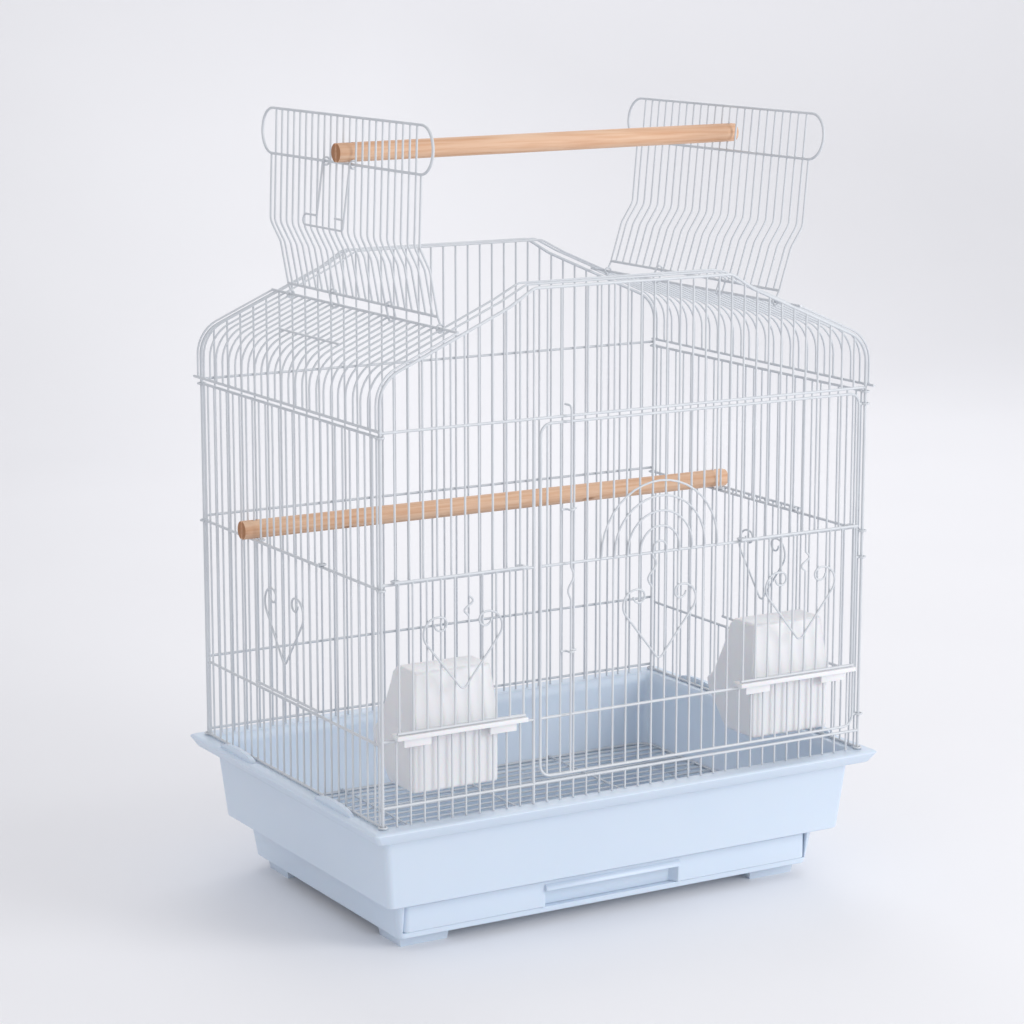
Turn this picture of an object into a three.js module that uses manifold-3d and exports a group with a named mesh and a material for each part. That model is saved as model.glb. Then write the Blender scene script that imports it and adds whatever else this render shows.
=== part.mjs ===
// Parrot cage: a wire cage with an opening roof on a plastic tray with a pull-out drawer.
// Millimetres. X runs to the right along the front, Y to the back and Z up, with the feet at z = 0.
import * as THREE from "three";
import { mergeVertices } from "three/addons/utils/BufferGeometryUtils.js";
import Module from "manifold-3d";

const wasm = await Module();
wasm.setup();

// Grid of the wirework
const pitch = 12.7;
const frontPitches = 37;
const sidePitches = 26;
const halfWidth = (frontPitches * pitch) / 2;
const halfDepth = (sidePitches * pitch) / 2;

// Thickness of the wires: a square section stands for a round wire of the same area
const wireSize = 1.77;
const railSize = 2.48;
const postSize = 2.66;

// Clearances between pieces, and the small gap between crossing wires of one piece
const clearance = 0.3;
const weldGap = 0.1;
const crossSeam = 0.4;
const overrun = 20;

// Levels of the wirework above the table
const footLevel = 118.3;
const bottomRailLevel = 135;
const lowRailLevel = 189.5;
const midRailLevel = 316.6;
const shoulderLevel = 438;
const sideDrop = 3.6;
const sideEdgeInset = 5.4;

// Lowest rail of the back panel; on the side panels it lies a side drop lower, level with the feet
const rimRailLevel = footLevel + railSize / 2 + sideDrop;

// Outline of the gable, as heights above the shoulder rail
const eavesRise = 40;
const kneeHalfWidth = 118;
const kneeRise = 91;
const crownHalfWidth = 95;
const crownRise = 105;
const eavesRadius = 28;
const kneeRadius = 12;

// Eyes that turn on a post or rail, and smaller ones that slide on a wire
const postEyeRadius = 2.4;
const railEyeRadius = 2.3;
const slideEyeRadius = 2;
const eyeSides = 8;

// Steps of the round shapes
const bendStep = Math.PI / 6;
const cornerSteps = 3;
const perchSides = 16;

// Front frame, main door and feeder doors, in pitches from the left post
const jambPitches = 11;
const feederDoorPitches = 9;
const doorWavePitches = 20;
const doorFeederPitches = 27;
const doorGapShare = 0.5;
const doorTopLevel = 433.3;
const doorBottomLevel = 140;
const doorCornerRadius = 10;
const doorEyeShares = [0.034, 0.511, 0.968];
const archRadiusPitches = [0.5, 1.5, 2.5, 3.5, 4.5];
const archCentre = 25.4;
const archRise = 3.4;
const feederDoorOffset = 5.4;
const feederDoorOverhang = 3.6;
const feederDoorHeight = 122.9;

// Wave in one wire of a door
const waveHeight = 28;
const waveWidth = 4.5;
const waveDrop = 1.6;
const smallWaveHeight = 17;
const smallWaveDrop = 17;
const waveShares = [
  [0, 0],
  [0.15, 0.7],
  [0.3, 1],
  [0.5, 0],
  [0.7, -1],
  [0.85, -0.7],
  [1, 0],
];

// Heart: two lobes on straight sides, with ends that curl inwards
const heartTipLevel = 225;
const sideHeartDrop = 3;
const heartLobeRise = 49.5;
const heartLobeOffset = 23;
const heartLobeRadius = 13;
const heartLobeEnd = (Math.PI * 11) / 18;
const heartTipRadius = 4;
const heartCurlRadius = 5.5;
const heartCurlEnd = 2 * Math.PI;

// Latch rod of the main door
const rodCentre = -63.5;
const rodOffset = 5.9;
const rodBottomLevel = 143;
const rodTopLevel = 447;
const rodHookReach = 10;
const rodHookRadius = 4;
const rodWaveTopLevel = 315;
const rodWaveWidth = 3;
const upperGuideLevel = 362;
const lowerGuideLevel = 244;
const guideFootReach = 7.3;
const guideBendRadius = 1.1;

// Roof: its ribs stand on the grid, and the outer ones at each end run on over the crown
const roofRailLevel = 440;
const roofRailOverhang = 8;
const hingeHalfWidth = 165;
const crownRibCount = 2;
const crownRibRise = 1.5;
const roofBarDistance = 212;
const roofBarHalfLength = 54;

// Flaps: each is drawn upright, with u up from its hinge and v outwards
const flapPitches = 22;
const flapPitch = 11.35;
const flapShift = 3.7;
const flapLegInset = 8.3;
const flapLoopReach = 26.6;
const flapBottomU = 9.5;
const flapBottomV = 2.5;
const flapElbowU = 46;
const flapElbowV = 10.5;
const flapFaceU = 64.5;
const flapFaceV = 20.5;
const flapLowerU = 121.5;
const flapTopU = 160;
const leftFlapTilt = (-2 * Math.PI) / 180;
const rightFlapTilt = (5.2 * Math.PI) / 180;
const leftClipPlace = 56.3;
const rightClipPlace = -44.8;

// Top latch on the left flap: a wire bent into two arms, a long bar and a hook beside each arm
const latchLeftArm = -26.3;
const latchRightArm = 22;
const latchLength = 45;
const latchLean = 4.6;
const latchHookReach = 24;
const latchStubReach = 16;
const latchBendRadius = 3;
const latchBarDrop = 9;

// Tray, from its underside up the body, the wall and the rim
const rimCornerRadius = 4;
const bodyCornerRadius = 6;
const undersideLevel = 11;
const trayUndersideLevel = 13.5;
const undersideInset = 34;
const bodyBottomInset = 30;
const bodyTopInset = 26;
const bodyTopLevel = 41;
const stepInset = 22;
const stepLevel = 43;
const wallBottomInset = 10.6;
const wallBottomLevel = 46;
const wallTopInset = 5;
const wallTopLevel = 104;
const skirtBottomOutset = 8.2;
const skirtBottomLevel = 107.5;
const rimOutset = 13.5;
const rimEdgeLevel = 116.4;
const rimFlatOutset = 11;
const rimLevel = 118;
const lipInset = 4;
const lipBottomInset = 8;
const lipBottomLevel = 108;
const ledgeOuterInset = 13.1;
const ledgeInnerInset = 28.5;
const ledgeLevel = 49;
const trayInnerInset = 32.5;
const trayFloorLevel = 16;
const drawerMouthTop = 40.3;
const footPlaceX = 175;
const footPlaceY = 104;
const footWidth = 48;
const footDepth = 40;
const footTaper = 2;
const lugCentre = 91.5;
const lugLength = 64;
const lugThickness = 4;
const lugOffset = 6;
const lugRise = 6;
const lugShares = [
  [-0.5, 0],
  [-0.42, 0.55],
  [-0.25, 0.9],
  [0, 1],
  [0.25, 0.9],
  [0.42, 0.55],
  [0.5, 0],
];

// Drawer
const drawerHalfWidth = 201.5;
const drawerFront = 137.4;
const drawerHeight = 22.4;
const drawerWall = 2;
const drawerFrontBlock = 14;
const pullHalfWidth = 67;
const pullDepth = 8;
const pullTaper = 5;
const pullMargin = 2.2;
const pullLipReach = 3.4;
const pullLipDrop = 5;
const pullLipThickness = 1.8;

// Grate
const grateLevel = 50.6;
const grateHalfLength = 220;
const grateHalfWidth = 150.3;
const grateRadius = 16;
const gratePitches = 22;
const grateCrossShares = [-0.5, 0, 0.5];

// Feeders: a closed front and top, and a bowl that juts out below the opening at the back
const feederWidth = 79;
const feederTopWidth = 70;
const feederWall = 2;
const feederFront = 4;
const feederDepth = 72;
const feederBottomLevel = 141;
const feederHeight = 99;
const feederTaperLevel = 200;
const feederOutlineShares = [
  [0, 0],
  [0.583, 0],
  [0.667, 0.061],
  [0.792, 0.172],
  [0.958, 0.303],
  [1, 0.404],
  [0.847, 0.485],
  [0.722, 0.667],
  [0.632, 0.838],
  [0.597, 0.939],
  [0.514, 1],
  [0.069, 1],
  [0, 0.596],
];
const feederOpeningDepth = 46;
const feederSill = 183;
const feederHead = 222;
const flangeWidth = 120;
const flangeReach = 8.5;
const tabPlace = 39.5;
const tabWidth = 24.5;
const tabThickness = 2;
const tabDrop = 7.5;

// Perches: each end has a slot for one wire, counted in pitches from the front or the middle of a flap
const perchRadius = 8;
const kerfWidth = 3;
const kerfDepth = 14.5;
const lowerPerchOverhang = 12.05;
const lowerPerchPitches = 18;
const topPerchLeftPitches = 1;
const topPerchRightPitches = -1;
const topPerchLeftReach = 12.4;
const topPerchRightReach = 6.8;
const topPerchRightLift = 6;
const topPerchLeftKerf = 15.5;
const topPerchRightKerf = 10;

// Colours
const white = { color: 0xf2f5f9, roughness: 0.35, metalness: 0.1 };
const trayBlue = { color: 0xd6e4f5, roughness: 0.4, metalness: 0 };
const cream = { color: 0xededef, roughness: 0.4, metalness: 0 };
const timber = { color: 0xdeb292, roughness: 0.7, metalness: 0 };

const at = (x, y, z) => new THREE.Vector3(x, y, z);
const upAxis = at(0, 0, 1);

// The solid that a closed geometry bounds
function solidOf(geometry) {
  const bare = geometry.clone();
  bare.deleteAttribute("normal");
  bare.deleteAttribute("uv");
  const merged = mergeVertices(bare);
  return new wasm.Manifold(
    new wasm.Mesh({
      numProp: 3,
      vertProperties: merged.attributes.position.array,
      triVerts: new Uint32Array(merged.index.array),
    }),
  );
}

// One solid from many
const unite = (solids) => wasm.Manifold.union(solids);

// A block between two opposite corners
function block(low, high) {
  const size = high.clone().sub(low);
  const geometry = new THREE.BoxGeometry(size.x, size.y, size.z);
  geometry.translate(...low.clone().add(high).divideScalar(2).toArray());
  return solidOf(geometry);
}

// A straight wire of square section between two points
function bar(from, to, size) {
  const along = to.clone().sub(from);
  const geometry = new THREE.BoxGeometry(size, size, along.length());
  geometry.applyQuaternion(
    new THREE.Quaternion().setFromUnitVectors(upAxis, along.clone().normalize()),
  );
  geometry.translate(...from.clone().add(to).divideScalar(2).toArray());
  return solidOf(geometry);
}

// A path straight from point to point, with its section square to the bisector at each bend
class Route extends THREE.Curve {
  constructor(points) {
    super();
    this.points = points;
  }
  getPoint(share) {
    const place = share * (this.points.length - 1);
    const index = Math.min(Math.floor(place), this.points.length - 2);
    return this.points[index].clone().lerp(this.points[index + 1], place - index);
  }
  getPointAt(share) {
    return this.getPoint(share);
  }
  getTangentAt(share) {
    const last = this.points.length - 1;
    const index = Math.round(share * last);
    const here = this.points[index];
    const before = here.clone().sub(this.points[Math.max(index - 1, 0)]).normalize();
    const after = this.points[Math.min(index + 1, last)].clone().sub(here).normalize();
    return before.add(after).normalize();
  }
}

// A wire of square section along a path of points
function wire(points, size) {
  const half = size / 2;
  const section = new THREE.Shape(
    [
      [-half, -half],
      [half, -half],
      [half, half],
      [-half, half],
    ].map(([x, y]) => new THREE.Vector2(x, y)),
  );
  return solidOf(
    new THREE.ExtrudeGeometry(section, {
      steps: points.length - 1,
      bevelEnabled: false,
      extrudePath: new Route(points),
    }),
  );
}

// Points of a path whose corners are rounded: each corner is a point, with a radius where it bends
function rounded(corners) {
  const points = corners.flatMap(({ point, radius }, index) => {
    if (!radius) return [point];
    const back = corners[index - 1].point.clone().sub(point).normalize();
    const onward = corners[index + 1].point.clone().sub(point).normalize();
    const half = back.angleTo(onward) / 2;
    const turn = Math.PI - 2 * half;
    const centre = back
      .clone()
      .add(onward)
      .setLength(radius / Math.sin(half))
      .add(point);
    const start = back.multiplyScalar(radius / Math.tan(half)).add(point).sub(centre);
    const end = onward.multiplyScalar(radius / Math.tan(half)).add(point).sub(centre);
    const steps = Math.max(1, Math.round(turn / bendStep));
    return Array.from({ length: steps + 1 }, (_, step) => {
      const share = step / steps;
      return start
        .clone()
        .multiplyScalar(Math.sin((1 - share) * turn))
        .addScaledVector(end, Math.sin(share * turn))
        .divideScalar(Math.sin(turn))
        .add(centre);
    });
  });
  return points.filter((point, index) => !index || point.distanceTo(points[index - 1]) > weldGap);
}

// A closed wire round four corners, made as two halves that meet in the middle of two sides
function frameWire(corners, radius, size) {
  const middle = (a, b) => a.clone().add(b).divideScalar(2);
  const [a, b, c, d] = corners;
  const halves = [
    [middle(d, a), a, b, middle(b, c)],
    [middle(b, c), c, d, middle(d, a)],
  ];
  return unite(
    halves.map(([start, first, second, end]) =>
      wire(
        rounded([
          { point: start },
          { point: first, radius },
          { point: second, radius },
          { point: end },
        ]),
        size,
      ),
    ),
  );
}

// A ring of square section round the Y axis, or round the Z axis when it lies flat
function eye(innerRadius, centre, liesFlat) {
  const outer = innerRadius + wireSize;
  const half = wireSize / 2;
  const profile = [
    [innerRadius, -half],
    [outer, -half],
    [outer, half],
    [innerRadius, half],
    [innerRadius, -half],
  ].map(([x, y]) => new THREE.Vector2(x, y));
  const geometry = new THREE.LatheGeometry(profile, eyeSides);
  if (liesFlat) geometry.rotateX(Math.PI / 2);
  geometry.translate(...centre.toArray());
  return solidOf(geometry);
}

// Turns of a prism: its outline is given as y and z, as x leftwards and z, or as x and y
const alongX = new THREE.Matrix4().makeBasis(at(0, 1, 0), at(0, 0, 1), at(1, 0, 0));
const alongY = new THREE.Matrix4().makeBasis(at(-1, 0, 0), at(0, 0, 1), at(0, 1, 0));
const alongZ = new THREE.Matrix4();

// A prism from an outline of points, running along an axis between two places
function prism(outline, from, to, axis) {
  const shape = new THREE.Shape(outline.map(([first, second]) => new THREE.Vector2(first, second)));
  const geometry = new THREE.ExtrudeGeometry(shape, { depth: to - from, bevelEnabled: false });
  geometry.translate(0, 0, from);
  geometry.applyMatrix4(axis);
  return solidOf(geometry);
}

// An anticlockwise outline moved inwards by the thickness of a wall
function shrunk(outline, wall) {
  const corners = outline.map(([first, second]) => new THREE.Vector2(first, second));
  return corners.map((corner, index) => {
    const before = corners.at(index - 1);
    const after = corners[(index + 1) % corners.length];
    const arriving = corner.clone().sub(before).normalize();
    const leaving = after.clone().sub(corner).normalize();
    const reach = wall / (1 + arriving.dot(leaving));
    return [
      corner.x - (arriving.y + leaving.y) * reach,
      corner.y + (arriving.x + leaving.x) * reach,
    ];
  });
}

// A solid through rounded rectangles, closed by its first and last one
function loft(rings) {
  const places = [];
  const faces = [];
  const sides = 4 * (cornerSteps + 1);
  for (const { halfX, halfY, radius, level } of rings) {
    for (let side = 0; side < sides; side += 1) {
      const corner = Math.floor(side / (cornerSteps + 1));
      const turn = (side - corner) * (Math.PI / 2 / cornerSteps);
      const signX = corner === 0 || corner === 3 ? 1 : -1;
      const signY = corner < 2 ? 1 : -1;
      places.push(
        signX * (halfX - radius) + radius * Math.cos(turn),
        signY * (halfY - radius) + radius * Math.sin(turn),
        level,
      );
    }
  }
  const last = rings.length - 1;
  const centres = [sides * rings.length, sides * rings.length + 1];
  places.push(0, 0, rings[0].level, 0, 0, rings[last].level);
  for (let side = 0; side < sides; side += 1) {
    const next = (side + 1) % sides;
    faces.push(centres[0], next, side);
    faces.push(centres[1], last * sides + side, last * sides + next);
    for (let ring = 0; ring < last; ring += 1) {
      const low = ring * sides;
      const high = low + sides;
      faces.push(low + side, low + next, high + next);
      faces.push(low + side, high + next, high + side);
    }
  }
  const geometry = new THREE.BufferGeometry();
  geometry.setAttribute("position", new THREE.Float32BufferAttribute(places, 3));
  geometry.setIndex(faces);
  return solidOf(geometry);
}

// A named mesh of a solid
function piece(name, solid, finish) {
  const { vertProperties, triVerts, numProp } = solid.getMesh();
  const geometry = new THREE.BufferGeometry();
  geometry.setAttribute("position", new THREE.BufferAttribute(vertProperties, numProp));
  geometry.setIndex(new THREE.BufferAttribute(triVerts, 1));
  geometry.computeVertexNormals();
  const mesh = new THREE.Mesh(geometry, new THREE.MeshStandardMaterial(finish));
  mesh.name = name;
  return mesh;
}

// A group of pieces, turned about Z and moved
function assembly(children, position, turn = 0) {
  const group = new THREE.Group();
  group.add(...children);
  group.position.copy(position);
  group.rotation.z = turn;
  return group;
}

// Evenly spaced places, centred on zero
const spaced = (pitches, space = pitch) =>
  Array.from({ length: pitches + 1 }, (_, index) => (index - pitches / 2) * space);

// An upright wire of a panel
const upright = (x, from, to, size = wireSize) => bar(at(x, 0, from), at(x, 0, to), size);

// A level rail of a panel
const rail = (level, from, to, y = 0) => bar(at(from, y, level), at(to, y, level), railSize);

// Height of the gable's edge above a point
const gableCorners = [
  { point: at(halfWidth, 0, shoulderLevel + eavesRise), radius: eavesRadius },
  { point: at(kneeHalfWidth, 0, shoulderLevel + kneeRise), radius: kneeRadius },
  { point: at(crownHalfWidth, 0, shoulderLevel + crownRise), radius: kneeRadius },
];
const mirrored = ({ point, radius }) => ({ point: at(-point.x, 0, point.z), radius });
const gablePath = rounded([
  { point: at(halfWidth, 0, footLevel) },
  ...gableCorners,
  ...gableCorners.map(mirrored).reverse(),
  { point: at(-halfWidth, 0, footLevel) },
]);

function gableHeight(x) {
  const right = gablePath.findIndex((point, index) => index > 0 && point.x <= x);
  const before = gablePath[right - 1];
  const after = gablePath[right];
  const share = (before.x - x) / (before.x - after.x);
  return before.z + share * (after.z - before.z);
}

const frontPlaces = spaced(frontPitches);
const jambPlace = frontPlaces[jambPitches];

function frontFrame() {
  const solids = [
    wire(gablePath, postSize),
    rail(bottomRailLevel, -halfWidth, halfWidth),
    rail(shoulderLevel, -halfWidth, halfWidth),
    rail(lowRailLevel, -halfWidth, jambPlace),
    rail(midRailLevel, -halfWidth, jambPlace),
    upright(jambPlace, footLevel, shoulderLevel, postSize),
  ];
  for (const x of frontPlaces.slice(1, frontPitches)) {
    const atFeeder = x < jambPlace;
    solids.push(upright(x, footLevel, atFeeder ? lowRailLevel : bottomRailLevel));
    solids.push(upright(x, atFeeder ? midRailLevel : shoulderLevel, gableHeight(x)));
  }
  return unite(solids);
}

function backPanel() {
  const railPlace = -(wireSize / 2 + weldGap + railSize / 2);
  const levels = [rimRailLevel, lowRailLevel, midRailLevel, shoulderLevel];
  const inner = frontPlaces.slice(1, frontPitches);
  return unite([
    wire(gablePath, postSize),
    ...levels.map((level) => rail(level, -halfWidth, halfWidth, railPlace)),
    ...inner.map((x) => upright(x, footLevel, gableHeight(x))),
  ]);
}

// A side panel, drawn with its outside facing -Y; its feeder aperture is centred off the middle
function sidePanel(apertureCentre) {
  const edge = halfDepth - sideEdgeInset;
  const inner = spaced(sidePitches).slice(1, sidePitches);
  const top = shoulderLevel - sideDrop;
  const low = lowRailLevel - sideDrop;
  const mid = midRailLevel - sideDrop;
  const bottom = rimRailLevel - sideDrop;
  const railEnd = halfDepth - postEyeRadius - wireSize / 2;
  const solids = [bottom, low, mid, top].map((level) =>
    rail(level, level === low ? -edge : -railEnd, level === low ? edge : railEnd),
  );
  for (const level of [bottom, mid, top])
    for (const end of [-halfDepth, halfDepth])
      solids.push(eye(postEyeRadius, at(end, 0, level), true));
  for (const x of [-edge, ...inner, edge]) {
    const atFeeder = Math.abs(x - apertureCentre) < (feederDoorPitches * pitch + pitch) / 2;
    if (atFeeder) solids.push(upright(x, footLevel, low), upright(x, mid, top));
    else solids.push(upright(x, footLevel, top));
  }
  return unite(solids);
}

// Path of a roof end's wires: up from its bottom rail and over the eaves to the hinge rail
const slope = Math.atan2(kneeRise - eavesRise, halfWidth - kneeHalfWidth);
const roofOffset =
  postSize / 2 + clearance + (railSize / 2) * (Math.cos(slope) + Math.sin(slope));
const roofEaves = at(
  halfWidth + roofOffset,
  0,
  shoulderLevel + eavesRise + roofOffset * Math.tan((Math.PI / 2 - slope) / 2),
);
const roofHeight = (x) => roofEaves.z + (roofEaves.x - x) * Math.tan(slope);
const hingeLevel = roofHeight(hingeHalfWidth);

// The roof: an end on each side, joined by the ribs that run on over the crown
function roof() {
  const crownLevel = shoulderLevel + crownRise + crownRibRise;
  const eavesCorners = [
    { point: at(roofEaves.x, 0, roofRailLevel) },
    { point: roofEaves, radius: eavesRadius + roofOffset },
  ];
  const shortPath = rounded([...eavesCorners, { point: at(hingeHalfWidth, 0, hingeLevel) }]);
  const halfCrown = [
    ...eavesCorners,
    { point: at(kneeHalfWidth, 0, roofHeight(kneeHalfWidth)), radius: kneeRadius },
    { point: at(crownHalfWidth, 0, crownLevel), radius: kneeRadius },
  ];
  const crownPath = rounded([...halfCrown, ...halfCrown.map(mirrored).reverse()]);
  const solids = [];
  const rib = (path, y, side) =>
    solids.push(
      wire(
        path.map((point) => at(side * point.x, y, point.z)),
        wireSize,
      ),
    );
  spaced(sidePitches).forEach((y, index) => {
    const fromEnd = Math.min(index, sidePitches - index);
    if (fromEnd > 0 && fromEnd <= crownRibCount) rib(crownPath, y, 1);
    else for (const side of [-1, 1]) rib(shortPath, y, side);
  });
  const railHalf = halfDepth + roofRailOverhang;
  const end = halfDepth + wireSize / 2;
  for (const side of [-1, 1]) {
    const outer = side * roofEaves.x;
    const inner = side * hingeHalfWidth;
    solids.push(bar(at(outer, -railHalf, roofRailLevel), at(outer, railHalf, roofRailLevel), railSize));
    solids.push(bar(at(inner, -end, hingeLevel), at(inner, end, hingeLevel), railSize));
  }
  const barLevel = roofHeight(roofBarDistance) + wireSize - crossSeam;
  solids.push(
    bar(
      at(-roofBarDistance, -roofBarHalfLength, barLevel),
      at(-roofBarDistance, roofBarHalfLength, barLevel),
      wireSize,
    ),
  );
  return unite(solids);
}

// A flap, drawn upright over its hinge with its outside facing +X
function flap() {
  const halfSpan = (flapPitches * flapPitch) / 2;
  const endRadius = (flapTopU - flapLowerU) / 2;
  const tip = halfSpan + flapLoopReach;
  const leg = halfSpan + flapLegInset;
  const across = (y, top) => [
    at(flapBottomV, y, flapBottomU),
    at(flapElbowV, y, flapElbowU),
    at(flapFaceV, y, flapFaceU),
    at(flapFaceV, y, top),
  ];
  const solids = [
    frameWire(
      [
        at(flapFaceV, -tip, flapLowerU),
        at(flapFaceV, tip, flapLowerU),
        at(flapFaceV, tip, flapTopU),
        at(flapFaceV, -tip, flapTopU),
      ],
      endRadius,
      railSize,
    ),
    bar(at(flapBottomV, -leg, flapBottomU), at(flapBottomV, leg, flapBottomU), railSize),
  ];
  for (const y of spaced(flapPitches, flapPitch)) solids.push(wire(across(y, flapTopU), wireSize));
  for (const y of [-leg, leg]) {
    solids.push(eye(railEyeRadius, at(0, y, 0), false));
    solids.push(wire([at(0, y, railEyeRadius + wireSize / 2), ...across(y, flapLowerU)], wireSize));
  }
  return unite(solids).translate(0, flapShift, 0);
}

// A clip that ties a flap's bottom rail to the hinge rail
function hingeClip(y) {
  const reach = railEyeRadius + wireSize / 2;
  const along = at(flapBottomV, 0, flapBottomU).normalize();
  const out = at(along.z, 0, -along.x).multiplyScalar(reach);
  const low = along.clone().multiplyScalar(-reach);
  const high = along.clone().multiplyScalar(reach).add(at(flapBottomV, 0, flapBottomU));
  const corners = [
    low.clone().add(out),
    high.clone().add(out),
    high.clone().sub(out),
    low.clone().sub(out),
  ];
  return frameWire(
    corners.map((point) => point.setY(y)),
    reach - weldGap,
    wireSize,
  );
}

// The top latch, drawn hanging from the lower wire of its flap
function topLatch() {
  const place = (y, drop) =>
    at(railEyeRadius + wireSize / 2 + (latchLean * drop) / latchLength, y, -drop);
  const hookEnd = latchLeftArm - latchHookReach;
  const barDrop = latchLength + latchBarDrop;
  const turnRadius = latchBarDrop / 2;
  const loop = rounded([
    { point: place(latchLeftArm, 0) },
    { point: place(latchLeftArm, latchLength), radius: latchBendRadius },
    { point: place(hookEnd, latchLength), radius: turnRadius },
    { point: place(hookEnd, barDrop), radius: turnRadius },
    { point: place(latchRightArm, barDrop), radius: latchBendRadius },
    { point: place(latchRightArm, 0) },
  ]);
  const stub = [
    place(latchRightArm, latchLength),
    place(latchRightArm - latchStubReach, latchLength),
  ];
  return unite([
    wire(loop, wireSize),
    bar(...stub, wireSize),
    eye(railEyeRadius, at(0, latchLeftArm, 0), false),
    eye(railEyeRadius, at(0, latchRightArm, 0), false),
  ]);
}

// A wire with a double bend partway down
function wavyWire(x, y, from, to, waveTop, height) {
  const wave = waveShares.map(([down, out]) => at(x + out * waveWidth, y, waveTop - down * height));
  return wire([at(x, y, to), ...wave, at(x, y, from)], wireSize);
}

// Path of a heart from one curled end to the other, round its tip
function heartPath(x, y, tipLevel) {
  const lobe = at(heartLobeOffset, 0, heartLobeRise);
  const tilt = Math.atan2(heartLobeRise, heartLobeOffset);
  const spread = Math.acos(heartLobeRadius / lobe.length());
  const half = [];
  const arc = (centre, radius, from, to) => {
    const steps = Math.round(Math.abs(to - from) / bendStep);
    for (let step = 0; step <= steps; step += 1) {
      const angle = from + ((to - from) * step) / steps;
      half.push(at(centre.x + radius * Math.cos(angle), 0, centre.z + radius * Math.sin(angle)));
    }
  };
  arc(lobe, heartLobeRadius, tilt + spread - Math.PI, heartLobeEnd);
  half.pop();
  const inward = heartLobeRadius - heartCurlRadius;
  const curl = at(Math.cos(heartLobeEnd), 0, Math.sin(heartLobeEnd)).multiplyScalar(inward).add(lobe);
  arc(curl, heartCurlRadius, heartLobeEnd, heartCurlEnd);
  const left = half.map((point) => at(-point.x, 0, point.z)).reverse();
  const tip = rounded([
    { point: left[left.length - 1] },
    { point: at(0, 0, 0), radius: heartTipRadius },
    { point: half[0] },
  ]);
  return [...left, ...tip.slice(1, tip.length - 1), ...half].map((point) =>
    at(x + point.x, y, tipLevel + point.z),
  );
}

// A heart in front of upright wires at y, held by a weld on each lobe
function heart(x, y, tipLevel) {
  const front = y - wireSize - weldGap;
  const solids = [wire(heartPath(x, front, tipLevel), wireSize)];
  const half = wireSize / 2 - weldGap;
  const out = pitch + pitch / 2;
  const up = heartLobeRise + Math.sqrt(heartLobeRadius ** 2 - (heartLobeOffset - out) ** 2);
  for (const side of [-1, 1]) {
    const centre = at(x + side * out, 0, tipLevel + up);
    solids.push(
      block(
        centre.clone().add(at(-half, front, -half)),
        centre.clone().add(at(half, y, half)),
      ),
    );
  }
  return unite(solids);
}

// A feeder door, drawn with its top wire at z = 0 and the panel that it slides on at y = 0
function feederDoor(tipLevel, hasWave) {
  const half = (feederDoorPitches * pitch) / 2;
  const y = -feederDoorOffset;
  const solids = [
    rail(0, -half - feederDoorOverhang, half + feederDoorOverhang, y),
    rail(-feederDoorHeight, -half - wireSize, half + wireSize, y),
    heart(0, y, tipLevel),
  ];
  for (const x of spaced(feederDoorPitches)) {
    if (hasWave && x > 0 && x < pitch)
      solids.push(wavyWire(x, y, -feederDoorHeight, 0, -smallWaveDrop, smallWaveHeight));
    else solids.push(bar(at(x, y, -feederDoorHeight), at(x, y, 0), wireSize));
  }
  for (const x of [-half, half]) {
    solids.push(eye(slideEyeRadius, at(x, 0, 0), true));
    solids.push(bar(at(x, y, 0), at(x, -slideEyeRadius - wireSize / 2, 0), wireSize));
  }
  return unite(solids);
}

const doorLeft = jambPlace + pitch * doorGapShare;
const doorRight = halfWidth - pitch * doorGapShare;

function mainDoor() {
  const archPlace = -(wireSize + weldGap);
  const solids = [
    frameWire(
      [
        at(doorLeft, 0, doorBottomLevel),
        at(doorRight, 0, doorBottomLevel),
        at(doorRight, 0, doorTopLevel),
        at(doorLeft, 0, doorTopLevel),
      ],
      doorCornerRadius,
      railSize,
    ),
    rail(lowRailLevel, doorLeft, doorRight),
    rail(midRailLevel, doorLeft, doorRight),
    heart(archCentre, 0, heartTipLevel),
  ];
  frontPlaces.forEach((x, place) => {
    if (x < doorLeft || x > doorRight) return;
    solids.push(upright(x, doorBottomLevel, lowRailLevel));
    solids.push(upright(x, midRailLevel, doorTopLevel));
    if (place === doorWavePitches)
      solids.push(
        wavyWire(x, 0, lowRailLevel, midRailLevel, midRailLevel - waveDrop, waveHeight),
      );
    else if (place < doorFeederPitches) solids.push(upright(x, lowRailLevel, midRailLevel));
  });
  for (const pitches of archRadiusPitches) {
    const radius = pitches * pitch;
    const steps = Math.ceil(pitches) + 4;
    const arch = Array.from({ length: steps + 1 }, (_, step) => {
      const angle = (Math.PI * step) / steps;
      return at(
        archCentre + radius * Math.cos(angle),
        archPlace,
        midRailLevel + archRise + radius * Math.sin(angle),
      );
    });
    const feet = [1, -1].map((side) => at(archCentre + side * radius, archPlace / 2, midRailLevel));
    solids.push(wire([feet[0], ...arch, feet[1]], wireSize));
  }
  for (const share of doorEyeShares) {
    const level = doorBottomLevel + share * (doorTopLevel - doorBottomLevel);
    const eyeReach = postEyeRadius + wireSize / 2;
    solids.push(eye(postEyeRadius, at(halfWidth, 0, level), true));
    solids.push(bar(at(doorRight, 0, level), at(halfWidth - eyeReach, 0, level), wireSize));
  }
  return unite(solids);
}

function latchRod() {
  const y = -rodOffset;
  const wave = waveShares.map(([down, out]) =>
    at(rodCentre + out * rodWaveWidth, y, rodWaveTopLevel - down * waveHeight),
  );
  const hook = rounded([
    { point: wave[0] },
    { point: at(rodCentre, y, rodTopLevel), radius: rodHookRadius },
    { point: at(rodCentre, y + rodHookReach, rodTopLevel) },
  ]);
  return wire([...hook.reverse(), ...wave.slice(1), at(rodCentre, y, rodBottomLevel)], wireSize);
}

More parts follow.
